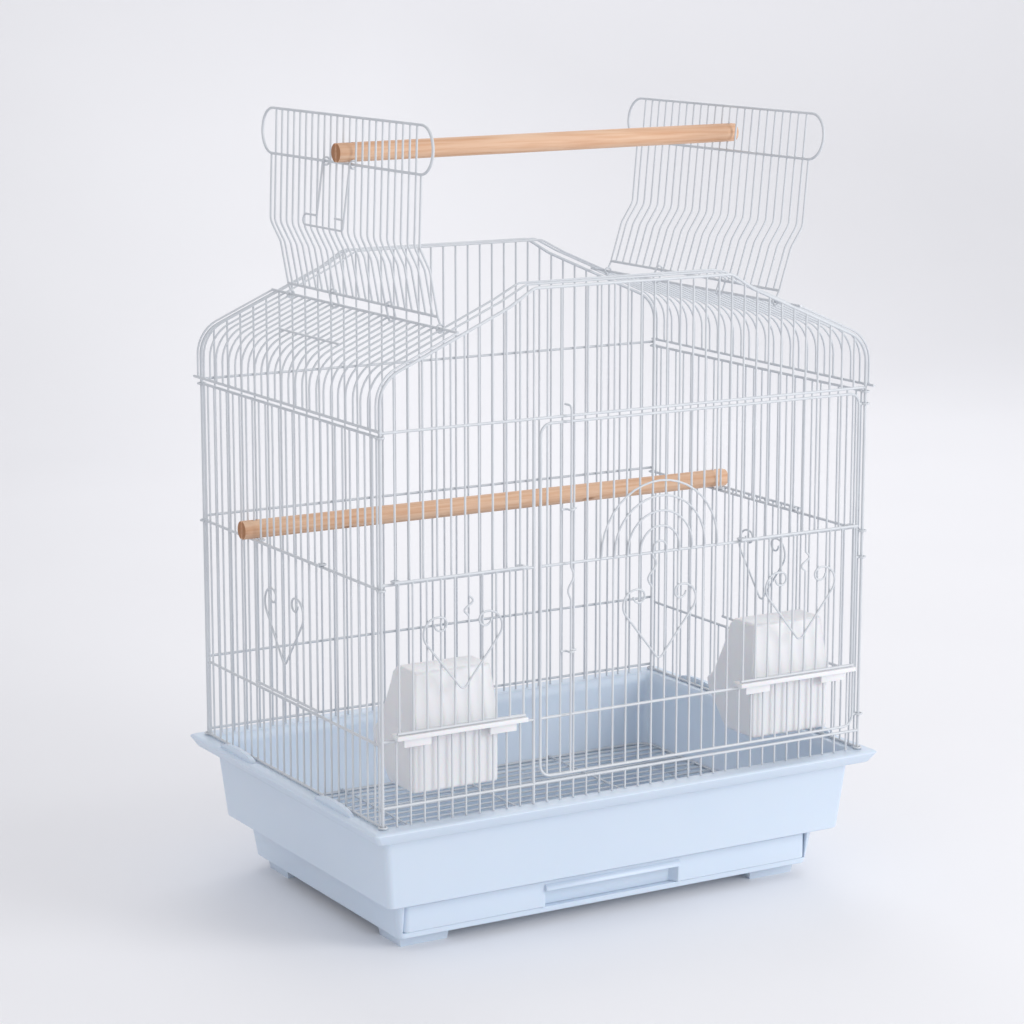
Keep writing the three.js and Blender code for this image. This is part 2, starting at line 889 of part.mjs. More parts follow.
// A guide of the latch rod: a staple with its feet on the two wires beside the rod
function rodGuide(level) {
  const foot = -(wireSize + clearance);
  const crest = -(rodOffset + wireSize + clearance);
  const leg = wireSize + clearance;
  const corners = [
    [-leg, foot],
    [-leg, crest],
    [leg, crest],
    [leg, foot],
  ].map(([x, y]) => ({ point: at(rodCentre + x, y, level), radius: guideBendRadius }));
  return wire(
    rounded([
      { point: at(rodCentre - guideFootReach, foot, level) },
      ...corners,
      { point: at(rodCentre + guideFootReach, foot, level) },
    ]),
    wireSize,
  );
}

// Rings of the tray from the underside over the rim to the floor, inset from the grid
const trayRings = [
  [undersideInset, trayUndersideLevel],
  [undersideInset, undersideLevel],
  [bodyBottomInset, undersideLevel],
  [bodyTopInset, bodyTopLevel],
  [stepInset, stepLevel],
  [wallBottomInset, wallBottomLevel],
  [wallTopInset, wallTopLevel],
  [-skirtBottomOutset, skirtBottomLevel, rimCornerRadius],
  [-rimOutset, rimEdgeLevel, rimCornerRadius],
  [-rimFlatOutset, rimLevel, rimCornerRadius],
  [lipInset, rimLevel],
  [lipBottomInset, lipBottomLevel],
  [ledgeOuterInset, ledgeLevel],
  [ledgeInnerInset, ledgeLevel],
  [trayInnerInset, trayFloorLevel],
].map(([amount, level, radius = bodyCornerRadius]) => ({
  halfX: halfWidth - amount,
  halfY: halfDepth - amount,
  radius,
  level,
}));

function baseTray() {
  const mouth = block(
    at(-drawerHalfWidth - clearance, -halfDepth, trayFloorLevel),
    at(drawerHalfWidth + clearance, -halfDepth + trayInnerInset + bodyCornerRadius, drawerMouthTop),
  );
  const footRing = (taper, level) => ({
    halfX: footWidth / 2 - taper,
    halfY: footDepth / 2 - taper,
    radius: footTaper,
    level,
  });
  const foot = loft([
    footRing(footTaper, 0),
    footRing(0, footTaper),
    footRing(0, trayUndersideLevel + weldGap),
  ]);
  const solids = [loft(trayRings).subtract(mouth)];
  for (const sideX of [-1, 1])
    for (const sideY of [-1, 1]) {
      solids.push(foot.translate(sideX * footPlaceX, sideY * footPlaceY, 0));
      const lug = lugShares.map(([along, rise]) => [
        sideY * lugCentre + along * lugLength,
        rimLevel - lugThickness / 2 + rise * (lugRise + lugThickness / 2),
      ]);
      const lugX = sideX * (halfWidth + lugOffset);
      solids.push(prism(lug.reverse(), lugX - lugThickness / 2, lugX + lugThickness / 2, alongX));
    }
  return unite(solids);
}

function drawer() {
  const bottom = trayFloorLevel + clearance;
  const top = bottom + drawerHeight;
  const floor = bottom + drawerWall;
  const back = halfDepth - trayInnerInset - clearance * 2;
  const halfY = (drawerFront + back) / 2;
  const centreY = (back - drawerFront) / 2;
  const ring = (amount, level) => ({
    halfX: drawerHalfWidth - amount,
    halfY: halfY - amount,
    radius: bodyCornerRadius - amount,
    level,
  });
  const pan = loft([
    ring(0, bottom),
    ring(0, top),
    ring(drawerWall, top),
    ring(drawerWall, floor),
  ]).translate(0, centreY, 0);
  const front = block(
    at(-pullHalfWidth - pullMargin, -drawerFront, bottom),
    at(pullHalfWidth + pullMargin, -drawerFront + drawerFrontBlock, top),
  );
  const lipTop = top - pullMargin;
  const pocket = prism(
    [
      [-pullHalfWidth, -drawerFront - overrun],
      [pullHalfWidth, -drawerFront - overrun],
      [pullHalfWidth, -drawerFront],
      [pullHalfWidth - pullTaper, -drawerFront + pullDepth],
      [-pullHalfWidth + pullTaper, -drawerFront + pullDepth],
      [-pullHalfWidth, -drawerFront],
    ],
    bottom - overrun,
    lipTop,
    alongZ,
  );
  const lip = prism(
    [
      [-drawerFront, lipTop + weldGap],
      [-drawerFront - pullLipReach, lipTop - pullLipDrop],
      [-drawerFront - pullLipReach + pullLipThickness, lipTop - pullLipDrop],
      [-drawerFront + pullLipThickness, lipTop + weldGap],
    ],
    -pullHalfWidth - weldGap,
    pullHalfWidth + weldGap,
    alongX,
  );
  return unite([unite([pan, front]).subtract(pocket), lip]);
}

function floorGrate() {
  const corners = [
    [-1, -1],
    [1, -1],
    [1, 1],
    [-1, 1],
  ].map(([x, y]) => at(x * grateHalfLength, y * grateHalfWidth, grateLevel));
  const level = grateLevel + wireSize + weldGap;
  return unite([
    frameWire(corners, grateRadius, railSize),
    ...spaced(gratePitches).map((y) =>
      bar(at(-grateHalfLength, y, grateLevel), at(grateHalfLength, y, grateLevel), wireSize),
    ),
    ...grateCrossShares.map((share) => {
      const x = share * grateHalfLength;
      return bar(at(x, -grateHalfWidth, level), at(x, grateHalfWidth, level), wireSize);
    }),
  ]);
}

// A feeder, drawn behind a panel at y = 0
function feeder() {
  const half = feederWidth / 2;
  const topHalf = feederTopWidth / 2;
  const back = feederFront + feederDepth + overrun;
  const top = feederBottomLevel + feederHeight;
  const side = feederOutlineShares.map(([depth, rise]) => [
    feederFront + depth * feederDepth,
    feederBottomLevel + rise * feederHeight,
  ]);
  const face = [
    [-half, feederBottomLevel],
    [half, feederBottomLevel],
    [half, feederTaperLevel],
    [topHalf, top],
    [-topHalf, top],
    [-half, feederTaperLevel],
  ];
  const opening = block(
    at(-half, feederFront + feederOpeningDepth, feederSill),
    at(half, back, feederHead),
  );
  const hollow = unite([prism(shrunk(side, feederWall), -half, half, alongX), opening]);
  const shell = prism(side, -half, half, alongX)
    .intersect(prism(face, 0, back, alongY))
    .subtract(hollow.intersect(prism(shrunk(face, feederWall), 0, back, alongY)));
  const flangeBottom = lowRailLevel + railSize / 2 + clearance;
  const flangeTop = midRailSlideLevel - feederDoorHeight - railSize / 2 - clearance;
  const solids = [
    shell,
    block(
      at(-flangeWidth / 2, -flangeReach, flangeBottom),
      at(flangeWidth / 2, feederFront + weldGap, flangeTop),
    ),
  ];
  for (const place of [-tabPlace, tabPlace]) {
    const tabBack = -(railSize / 2 + clearance);
    solids.push(
      block(
        at(place - tabWidth / 2, tabBack - tabThickness, flangeBottom - tabDrop),
        at(place + tabWidth / 2, tabBack, flangeBottom + weldGap),
      ),
    );
  }
  return unite(solids);
}

// A perch centred along X with an upright slot in each end
function perch(length, leftDepth, rightDepth) {
  const geometry = new THREE.CylinderGeometry(perchRadius, perchRadius, length, perchSides);
  geometry.rotateZ(Math.PI / 2);
  const half = length / 2;
  const slot = (low, high) =>
    block(at(low, -kerfWidth / 2, -overrun), at(high, kerfWidth / 2, overrun));
  return solidOf(geometry).subtract(
    unite([slot(-half - overrun, leftDepth - half), slot(half - rightDepth, half + overrun)]),
  );
}

// Levels at which the eyes of a feeder door rest on the middle rail
const midRailSlideLevel = midRailLevel + railSize / 2 + clearance + wireSize / 2;
const heartTipDrop = heartTipLevel - midRailSlideLevel;
const frontFeederCentre = halfWidth - (feederDoorPitches / 2 + 1) * pitch;
const sideFeederCentre = -pitch / 2;

const baseGroup = assembly(
  [
    piece("base_tray", baseTray(), trayBlue),
    piece("slide_out_drawer", drawer(), trayBlue),
    piece("floor_grate", floorGrate(), white),
  ],
  at(0, 0, 0),
);

const frontGroup = assembly(
  [
    piece("front_frame", frontFrame(), white),
    piece("main_door", mainDoor(), white),
    piece("door_latch_rod", latchRod(), white),
    piece("door_latch_guide_upper", rodGuide(upperGuideLevel), white),
    piece("door_latch_guide_lower", rodGuide(lowerGuideLevel), white),
  ],
  at(0, -halfDepth, 0),
);

const backGroup = assembly(
  [piece("back_panel", backPanel(), white)],
  at(0, halfDepth, 0),
  Math.PI,
);

const sideGroups = [
  ["left", -1],
  ["right", 1],
].map(([name, side]) =>
  assembly(
    [piece(name + "_side_panel", sidePanel(side * sideFeederCentre), white)],
    at(side * halfWidth, 0, 0),
    (side * Math.PI) / 2,
  ),
);

const frontDoorGroups = [
  ["front_left_feeder_door", -1],
  ["front_right_feeder_door", 1],
].map(([name, side]) =>
  assembly(
    [piece(name, feederDoor(heartTipDrop, true), white)],
    at(side * frontFeederCentre, -halfDepth, midRailSlideLevel),
  ),
);

const sideDoorGroups = [
  ["left_feeder_door", -1],
  ["right_feeder_door", 1],
].map(([name, side]) =>
  assembly(
    [piece(name, feederDoor(heartTipDrop - sideHeartDrop, false), white)],
    at(side * halfWidth, sideFeederCentre, midRailSlideLevel - sideDrop),
    (side * Math.PI) / 2,
  ),
);

const feederGroups = [
  ["front_left_feeder", -1],
  ["front_right_feeder", 1],
].map(([name, side]) =>
  assembly([piece(name, feeder(), cream)], at(side * frontFeederCentre, -halfDepth, 0)),
);

// A flap with its clips, turned about its hinge rail
function flapGroup(side, tilt, children) {
  const tilted = new THREE.Group();
  tilted.add(...children);
  tilted.rotation.y = tilt;
  return assembly([tilted], at(side * hingeHalfWidth, 0, hingeLevel), side < 0 ? Math.PI : 0);
}

const latch = piece("top_latch", topLatch(), white);
latch.position.set(flapFaceV, 0, flapLowerU);

const flapGroups = [
  flapGroup(-1, leftFlapTilt, [
    piece("left_flap", flap(), white),
    piece("left_hinge_clip_front", hingeClip(leftClipPlace), white),
    piece("left_hinge_clip_back", hingeClip(rightClipPlace), white),
    latch,
  ]),
  flapGroup(1, rightFlapTilt, [
    piece("right_flap", flap(), white),
    piece("right_hinge_clip_front", hingeClip(rightClipPlace), white),
    piece("right_hinge_clip_back", hingeClip(leftClipPlace), white),
  ]),
];

// Where a perch rests on the lower wire of a flap, beside one of the flap's uprights
const perchLift = perchRadius + clearance + railSize / 2 + weldGap;

function flapRest(side, tilt, pitches) {
  const rest = at(flapFaceV, 0, flapLowerU).applyAxisAngle(at(0, 1, 0), tilt);
  return at(
    side * (hingeHalfWidth + rest.x),
    side * (flapShift + pitches * flapPitch),
    hingeLevel + rest.z + perchLift,
  );
}

const leftEnd = flapRest(-1, leftFlapTilt, topPerchLeftPitches);
const rightEnd = flapRest(1, rightFlapTilt, topPerchRightPitches);
leftEnd.x -= topPerchLeftReach;
rightEnd.x += topPerchRightReach;
rightEnd.z += topPerchRightLift;
const topPerch = piece(
  "top_perch",
  perch(leftEnd.distanceTo(rightEnd), topPerchLeftKerf, topPerchRightKerf),
  timber,
);
topPerch.position.copy(leftEnd).add(rightEnd).divideScalar(2);
topPerch.quaternion.setFromUnitVectors(at(1, 0, 0), rightEnd.clone().sub(leftEnd).normalize());

const lowerPerch = piece(
  "lower_perch",
  perch(2 * (halfWidth + lowerPerchOverhang), kerfDepth, kerfDepth),
  timber,
);
lowerPerch.position.set(
  0,
  (lowerPerchPitches - sidePitches / 2) * pitch,
  midRailLevel - sideDrop + railSize / 2 + clearance + perchRadius,
);

const cage = new THREE.Group();
cage.name = "parrot_cage";
cage.add(
  baseGroup,
  frontGroup,
  backGroup,
  ...sideGroups,
  ...frontDoorGroups,
  ...sideDoorGroups,
  ...feederGroups,
  piece("roof_frame", roof(), white),
  ...flapGroups,
  topPerch,
  lowerPerch,
);

export default cage;
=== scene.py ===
"""Parrot cage: powder-coated wires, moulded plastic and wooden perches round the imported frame.

Lengths are in millimetres, in the frame's own axes, and become metres where a mesh is made.
"""

import math

import bpy
import bmesh
from mathutils import Matrix, Vector


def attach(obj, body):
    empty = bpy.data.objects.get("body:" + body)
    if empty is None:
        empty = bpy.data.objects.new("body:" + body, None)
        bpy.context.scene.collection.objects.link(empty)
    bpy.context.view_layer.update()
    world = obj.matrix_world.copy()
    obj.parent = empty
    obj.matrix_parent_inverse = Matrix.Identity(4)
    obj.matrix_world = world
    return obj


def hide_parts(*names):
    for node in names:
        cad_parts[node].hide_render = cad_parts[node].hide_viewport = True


bl_info = {
    "name": "Parrot cage",
    "version": (1, 0, 0),
    "blender": (4, 5, 0),
    "location": "View3D > Sidebar > Cage",
    "description": "Builds a wire parrot cage with an opening roof, a tray, feeders and perches",
    "category": "Add Mesh",
}

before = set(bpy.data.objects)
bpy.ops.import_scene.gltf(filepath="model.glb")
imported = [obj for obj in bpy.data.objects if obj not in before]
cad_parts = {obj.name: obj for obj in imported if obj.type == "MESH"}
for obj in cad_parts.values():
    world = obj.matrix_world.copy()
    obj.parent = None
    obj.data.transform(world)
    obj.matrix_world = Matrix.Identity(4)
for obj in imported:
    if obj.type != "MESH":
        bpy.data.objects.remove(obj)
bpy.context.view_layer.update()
MM = 0.001

# Grid of the wirework and the room that a rail or post takes up, as in the frame
PITCH = 12.7
FRONT_PITCHES, SIDE_PITCHES, JAMB_PITCHES = 37, 26, 11
HALF_WIDTH = FRONT_PITCHES / 2 * PITCH
HALF_DEPTH = SIDE_PITCHES / 2 * PITCH
RAIL_HALF, POST_HALF, CLEARANCE = 1.24, 1.33, 0.3

# Levels of the rails; those of the side panels lie a little lower
FOOT, BOTTOM, LOW, MID, SHOULDER = 118.3, 135.0, 189.5, 316.6, 438.0
SIDE_DROP = 3.6
RIM_RAIL = FOOT + RAIL_HALF + SIDE_DROP
BACK_RAIL_Y = -2.25
SIDE_EDGE = HALF_DEPTH - 5.4

# Radii of the eyes that wires make round a post, a rail and a wire
EYE_OF_POST, EYE_OF_RAIL, EYE_OF_WIRE = 3.285, 3.185, 2.885

# Main door with its arches, heart, latch rod and guides
DOOR_LEFT, DOOR_RIGHT = -7 * PITCH, HALF_WIDTH - PITCH / 2
DOOR_TOP, DOOR_BOTTOM = 433.3, 140.0
DOOR_CORNER = 10.0
HINGE_EYE_SHARES = (0.034, 0.511, 0.968)
ARCHES, ARCH_X, ARCH_RISE = 5, 2 * PITCH, 3.4
TRIM_Y = -1.95
WAVE_TOP, WAVE_HEIGHT = 315, 28
ROD_X, ROD_Y = -5 * PITCH, -5.9
ROD_BOTTOM, ROD_WAVE_FROM, ROD_TOP = 143, 400, 447
GUIDE_LEVELS = (("upper", 362), ("lower", 244))
GUIDE_CORNERS = [(-7.3, -2.07, 0), (-2.07, -2.07, 1.1), (-2.07, -7.97, 1.1)]

# Hearts of bent wire
HEART_TIP = 225.0
HEART_POINT_RADIUS = 4.0
LOBE_X, LOBE_Z, LOBE_RADIUS = 23.0, 49.5, 13.0
CURL_RADIUS, LOBE_END = 5.5, math.radians(110)

# Sliding feeder doors
FEEDER_CENTRE = 13 * PITCH
SLIDE_LEVEL = 319.025
FEEDER_DOOR_HEIGHT = 122.9
FEEDER_DOOR_Y = -5.4
TOP_RAIL_REACH, LOW_RAIL_REACH = 3.6, 1.8

# Gable and roof: each corner of the gable has a place, a level and a radius
EAVES_LEVEL, KNEE_LEVEL, CROWN_LEVEL = 478.0, 529.0, 543.0
KNEE_X, CROWN_X = 118.0, 95.0
EAVES_RADIUS, RIDGE_RADIUS = 28.0, 12.0
GABLE = [
    (HALF_WIDTH, EAVES_LEVEL, EAVES_RADIUS),
    (KNEE_X, KNEE_LEVEL, RIDGE_RADIUS),
    (CROWN_X, CROWN_LEVEL, RIDGE_RADIUS),
]
SLOPE = math.atan2(KNEE_LEVEL - EAVES_LEVEL, HALF_WIDTH - KNEE_X)
ROOF_OFFSET = POST_HALF + CLEARANCE + RAIL_HALF * (math.cos(SLOPE) + math.sin(SLOPE))
EAVES_X = HALF_WIDTH + ROOF_OFFSET
EAVES_Z = EAVES_LEVEL + ROOF_OFFSET * math.tan((math.pi / 2 - SLOPE) / 2)
EAVES_RAIL = 440
HINGE_X = 165.0
HINGE_Z = EAVES_Z + (EAVES_X - HINGE_X) * math.tan(SLOPE)
CROWN_RIB_Z = CROWN_LEVEL + 1.5

# Flaps, drawn upright over their hinges; a bend is (height, distance outwards)
LEFT_TILT, RIGHT_TILT = math.radians(-2), math.radians(5.2)
FLAP_PITCHES, FLAP_PITCH, FLAP_SHIFT = 22, 11.35, 3.7
FLAP_LEG_REACH, FLAP_LOOP_REACH, FLAP_BEND_RADIUS = 8.3, 26.6, 14.0
FLAP_FACE, FLAP_LOWER, FLAP_TOP = 20.5, 121.5, 160.0
FLAP_BENDS = [(9.5, 2.5), (46.0, 10.5), (64.5, 20.5)]
CLIP_PLACES = (56.3, -44.8)

PERCH_RADIUS = 8

# Feeder, with its bowl inside the cage: an outline of (distance inwards, level)
FEEDER_TAPER_FROM, FEEDER_TAPER_RISE = 200, 40
FEEDER_OUTLINE = [
    (4, 141), (46, 141), (52, 147), (61, 158), (73, 171), (76, 181), (65, 189), (59.5, 200),
    (56, 207), (49.5, 224), (47, 234), (41, 240), (9, 240), (4, 200),
]

# Tray, as rings of (inset from the wirework, level, corner radius) up its outside and down inside
TRAY_RINGS = [
    (34, 13.5, 6), (34, 11, 6), (30.6, 11, 6), (30, 11.6, 6), (26, 41, 6), (25, 42.4, 6),
    (22, 43, 6), (12, 45, 6), (10.8, 45.8, 6), (10.4, 47, 6), (5, 103, 6), (4, 104.4, 6),
    (-7.4, 107.2, 4), (-8.2, 107.8, 4), (-13.3, 115.9, 4), (-13.3, 116.5, 4),
    (-12.6, 117.2, 4), (-11, 117.9, 4), (-10, 118, 4), (3, 118, 6), (5, 117.2, 6),
    (6.4, 115.2, 6), (8, 108, 6), (12.8, 51, 6), (13.6, 49.4, 6), (15, 49, 6),
    (27.8, 49, 6), (28.8, 48.2, 6), (32.2, 17, 6), (33.5, 16, 5.5),
]
FOOT_X, FOOT_Y, FOOT_TAPER = 175, 104, 2
RIM_LEVEL, LUG_Y, LUG_OFFSET = 118, 91.5, 6

# Drawer, as rings of (half width, less than the half depth, corner radius, level)
DRAWER_FRONT, DRAWER_BACK, DRAWER_BOTTOM, DRAWER_TOP = -137.4, 132.0, 16.3, 38.7
DRAWER_RINGS = [
    (200.5, 1, 5, DRAWER_BOTTOM), (201.5, 0, 6, 17.3), (201.5, 0, 6, DRAWER_TOP),
    (199.5, 2, 4, DRAWER_TOP), (199.5, 2, 4, 18.8), (199, 2.5, 3.5, 18.3),
]
PULL_HALF, PULL_BACK, PULL_TOP, PULL_TAPER = 67, -129.4, 36.5, 5
PULL_LIP = [
    (-137.4, 36.6), (-139.2, 35.4), (-140.8, 31.5), (-139.0, 31.5), (-137.6, 34.6), (-135.6, 36.6),
]

# Stage, in metres, radians and watts: the camera's place, its turn from straight ahead and its
# tip; the lamps by name, place, width and power; the paper's half width, back and bend radius
CAMERA_PLACE = (-1.2965, -2.1731, 0.8218)
YAW, TIP = 0.5316, -0.194
LENS = 104.2
LAMPS = (
    ("key", (1.9, -2.8, 1.3), 1.7, 50),
    ("fill", (-2.3, -1.3, 1.6), 1.8, 3),
    ("back", (1.2, 2.2, 2.2), 2.0, 16),
)
PAPER_HALF, PAPER_BACK, PAPER_BEND = 6, 3.4, 1.2


class CageSettings(bpy.types.PropertyGroup):
    """Sizes and colours that change the cage's look."""

    wire: bpy.props.FloatProperty(
        name="Wire", description="Diameter of the wires", default=0.0018, unit="LENGTH"
    )
    rail: bpy.props.FloatProperty(
        name="Rail", description="Diameter of the level rails", default=0.0024, unit="LENGTH"
    )
    post: bpy.props.FloatProperty(
        name="Post", description="Diameter of the corner posts", default=0.0027, unit="LENGTH"
    )
    wire_sides: bpy.props.IntProperty(
        name="Sides", description="Sides of a wire's section", default=10, min=6, max=24
    )
    wire_colour: bpy.props.StringProperty(
        name="Wire colour", description="Colour of the powder coat, sRGB hex", default="D8DCE0"
    )
    tray_colour: bpy.props.StringProperty(
        name="Tray colour", description="Colour of the tray, sRGB hex", default="D6E2EF"
    )
    feeder_colour: bpy.props.StringProperty(
        name="Feeder colour", description="Colour of the feeders, sRGB hex", default="E9E9EB"
    )
    wood_colour: bpy.props.StringProperty(
        name="Wood colour", description="Colour of the perches, sRGB hex", default="E0BA9C"
    )
    grain_colour: bpy.props.StringProperty(
        name="Grain colour", description="Colour of the dark grain, sRGB hex", default="D2A27F"
    )


# Helpers for paths


def at(x, y, z):
    return Vector((x, y, z))


def rounded(corners, step=math.radians(9)):
    """Points of a path whose corners are rounded; a corner is (point, radius)."""
    points = []
    for index, (point, radius) in enumerate(corners):
        if not radius:
            points.append(point.copy())
            continue
        back = (corners[index - 1][0] - point).normalized()
        onward = (corners[(index + 1) % len(corners)][0] - point).normalized()
        half = back.angle(onward) / 2
        turn = math.pi - 2 * half
        centre = point + (back + onward).normalized() * (radius / math.sin(half))
        start = point + back * (radius / math.tan(half)) - centre
        end = point + onward * (radius / math.tan(half)) - centre
        count = max(1, round(turn / step))
        for i in range(count + 1):
            share = i / count
            spoke = start * math.sin((1 - share) * turn) + end * math.sin(share * turn)
            points.append(centre + spoke / math.sin(turn))
    kept = points[:1]
    for point in points[1:]:
        if (point - kept[-1]).length > 0.05:
            kept.append(point)
    return kept


def arc(centre, radius, start, end, step=math.radians(9)):
    """Points of an arc in the XZ plane, from one angle to another."""
    count = max(2, round(abs(end - start) / step))
    angles = [start + (end - start) * i / count for i in range(count + 1)]
    return [centre + radius * at(math.cos(a), 0, math.sin(a)) for a in angles]


def path(points, gauge="wire", closed=False):
    return {"points": points, "gauge": gauge, "closed": closed}


def moved(points, x, y, z):
    return [point + at(x, y, z) for point in points]


def straight(start, end, gauge="wire"):
    return path([start, end], gauge)


def frame_path(low, high, radius, gauge="rail", depth=0.0):
    """A closed frame in the XZ plane with rounded corners."""
    (x0, z0), (x1, z1) = low, high
    corners = [at(x0, depth, z0), at(x1, depth, z0), at(x1, depth, z1), at(x0, depth, z1)]
    points = rounded([(c, radius) for c in corners])
    return path(points[:-1] if (points[0] - points[-1]).length < 0.05 else points, gauge, True)


def eye_path(centre, radius, axis, gauge="wire"):
    """A closed ring round the Y or Z axis."""
    points = []
    for i in range(20):
        a = math.tau * i / 20
        spoke = at(math.cos(a), math.sin(a), 0) if axis == "Z" else at(math.cos(a), 0, math.sin(a))
        points.append(centre + spoke * radius)
    return path(points, gauge, True)


def upright(x, low, high, gauge="wire", y=0.0):
    return straight(at(x, y, low), at(x, y, high), gauge)


def level(z, left, right, gauge="rail", y=0.0):
    return straight(at(left, y, z), at(right, y, z), gauge)


# Helpers for nodes and meshes


def add(tree, kind, inputs=None, **settings):
    """Adds a node with its settings, and gives each named input its value or its link."""
    node = tree.nodes.new(kind)
    for key, value in settings.items():
        setattr(node, key, value)
    for key, value in (inputs or {}).items():
        socket = node.inputs[key]
        if isinstance(value, bpy.types.NodeSocket):
            tree.links.new(value, socket)
        else:
            socket.default_value = value
    return node


def wire_tree():
    """Node tree that turns paths into round wires and repeats them along a line."""
    tree = bpy.data.node_groups.new("row of wires", "GeometryNodeTree")
    for name, kind in (
        ("Paths", "Geometry"), ("Sides", "Int"), ("Copies", "Int"),
        ("Spacing", "Vector"), ("Coating", "Material"),
    ):
        tree.interface.new_socket(name, in_out="INPUT", socket_type="NodeSocket" + kind)
    tree.interface.new_socket("Wires", in_out="OUTPUT", socket_type="NodeSocketGeometry")
    start = add(tree, "NodeGroupInput").outputs
    gauge = add(tree, "GeometryNodeInputNamedAttribute", {"Name": "gauge"}, data_type="FLOAT")
    curve = add(tree, "GeometryNodeMeshToCurve", {"Mesh": start["Paths"]})
    sized = add(tree, "GeometryNodeSetCurveRadius", {
        "Curve": curve.outputs[0], "Radius": gauge.outputs["Attribute"],
    })
    ring = add(tree, "GeometryNodeCurvePrimitiveCircle", {
        "Resolution": start["Sides"], "Radius": 1.0,
    })
    tube = add(tree, "GeometryNodeCurveToMesh", {
        "Curve": sized.outputs[0], "Profile Curve": ring.outputs[0], "Fill Caps": True,
    })
    if "Scale" in tube.inputs:
        tree.links.new(gauge.outputs["Attribute"], tube.inputs["Scale"])
    line = add(tree, "GeometryNodeMeshLine", {
        "Count": start["Copies"], "Offset": start["Spacing"],
    }, mode="OFFSET")
    copies = add(tree, "GeometryNodeInstanceOnPoints", {
        "Points": line.outputs[0], "Instance": tube.outputs[0],
    })
    real = add(tree, "GeometryNodeRealizeInstances", {0: copies.outputs[0]})
    smooth = add(tree, "GeometryNodeSetShadeSmooth", {0: real.outputs[0]})
    coated = add(tree, "GeometryNodeSetMaterial", {
        "Geometry": smooth.outputs[0], "Material": start["Coating"],
    })
    add(tree, "NodeGroupOutput", {"Wires": coated.outputs[0]})
    return tree


def row(paths, copies=1, spacing=(0.0, 0.0, 0.0)):
    return {"paths": paths, "copies": copies, "spacing": spacing}


def in_metres(place):
    return Matrix.Translation(place.to_translation() * MM) @ place.to_3x3().to_4x4()


def tubes(made, place):
    """The plain mesh of a row's wires, set in its place in the cage."""
    settings = bpy.context.scene.cage
    tree = bpy.data.node_groups.get("row of wires") or wire_tree()
    points, edges, gauges = [], [], []
    for one in made["paths"]:
        first = len(points)
        points += [p * MM for p in one["points"]]
        gauges += [getattr(settings, one["gauge"]) / 2] * len(one["points"])
        edges += [(i, i + 1) for i in range(first, len(points) - 1)]
        if one["closed"]:
            edges.append((len(points) - 1, first))
    mesh = bpy.data.meshes.new("paths")
    mesh.from_pydata(points, edges, [])
    mesh.attributes.new("gauge", "FLOAT", "POINT").data.foreach_set("value", gauges)
    holder = bpy.data.objects.new("paths", mesh)
    bpy.context.scene.collection.objects.link(holder)
    modifier = holder.modifiers.new("wires", "NODES")
    modifier.node_group = tree
    values = {
        "Sides": settings.wire_sides,
        "Copies": made["copies"],
        "Spacing": Vector(made["spacing"]) * MM,
        "Coating": powder_coat(),
    }
    for item in tree.interface.items_tree:
        if item.name in values:
            modifier[item.identifier] = values[item.name]
    graph = bpy.context.evaluated_depsgraph_get()
    result = bpy.data.meshes.new_from_object(holder.evaluated_get(graph))
    holder.modifiers.remove(modifier)
    bpy.data.objects.remove(holder)
    result.transform(in_metres(place))
    return result


def finish_piece(name, body, mesh, material, node):
    """Links a finished mesh as a piece that rides on a body and stands for a CAD node."""
    mesh.materials.clear()
    mesh.materials.append(material)
    piece = bpy.data.objects.new(name, mesh)
    bpy.context.scene.collection.objects.link(piece)
    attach(piece, body)
    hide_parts(node)


def wirework(node, body, rows, place=Matrix()):
    """A piece of wire from its rows, in place of a CAD node."""
    whole = bmesh.new()
    for one in rows:
        mesh = tubes(one, place)
        whole.from_mesh(mesh)
        bpy.data.meshes.remove(mesh)
    for face in whole.faces:
        face.material_index = 0
    mesh = bpy.data.meshes.new(node + "_wires")
    whole.to_mesh(mesh)
    whole.free()
    finish_piece(node + "_wires", body, mesh, powder_coat(), node)


def facing(x, y, turn):
    return Matrix.Translation((x, y, 0)) @ Matrix.Rotation(turn, 4, "Z")


def rounded_ring(mesh, half_x, half_y, radius, z, steps=10):
    """A ring of points on a rectangle with round corners."""
    ring = []
    for corner, (sx, sy) in enumerate(((1, 1), (-1, 1), (-1, -1), (1, -1))):
        for i in range(steps + 1):
            a = math.pi / 2 * (corner + i / steps)
            x = sx * (half_x - radius) + radius * math.cos(a)
            y = sy * (half_y - radius) + radius * math.sin(a)
            ring.append(mesh.verts.new(at(x, y, z) * MM))
    return ring


def loft(rings, centre_y=0.0):
    """A closed shell through rounded rectangles, each (half x, half y, radius, level)."""
    shell = bmesh.new()
    loops = [rounded_ring(shell, *ring) for ring in rings]
    for low, high in zip(loops, loops[1:]):
        for i in range(len(low)):
            j = (i + 1) % len(low)
            shell.faces.new((low[i], low[j], high[j], high[i]))
    shell.faces.new(reversed(loops[0]))
    shell.faces.new(loops[-1])
    bmesh.ops.translate(shell, verts=shell.verts, vec=at(0, centre_y, 0) * MM)
    return shell


def as_object(shell, name):
    bmesh.ops.remove_doubles(shell, verts=shell.verts, dist=1e-7)
    bmesh.ops.recalc_face_normals(shell, faces=shell.faces)
    mesh = bpy.data.meshes.new(name)
    shell.to_mesh(mesh)
    shell.free()
    made = bpy.data.objects.new(name, mesh)
    bpy.context.scene.collection.objects.link(made)
    return made


def box(low, high):
    shell = bmesh.new()
    bmesh.ops.create_cube(shell, size=1)
    for vert in shell.verts:
        share = [c + 0.5 for c in vert.co]
        vert.co = Vector([a + (b - a) * s for a, b, s in zip(low, high, share)]) * MM
    return shell


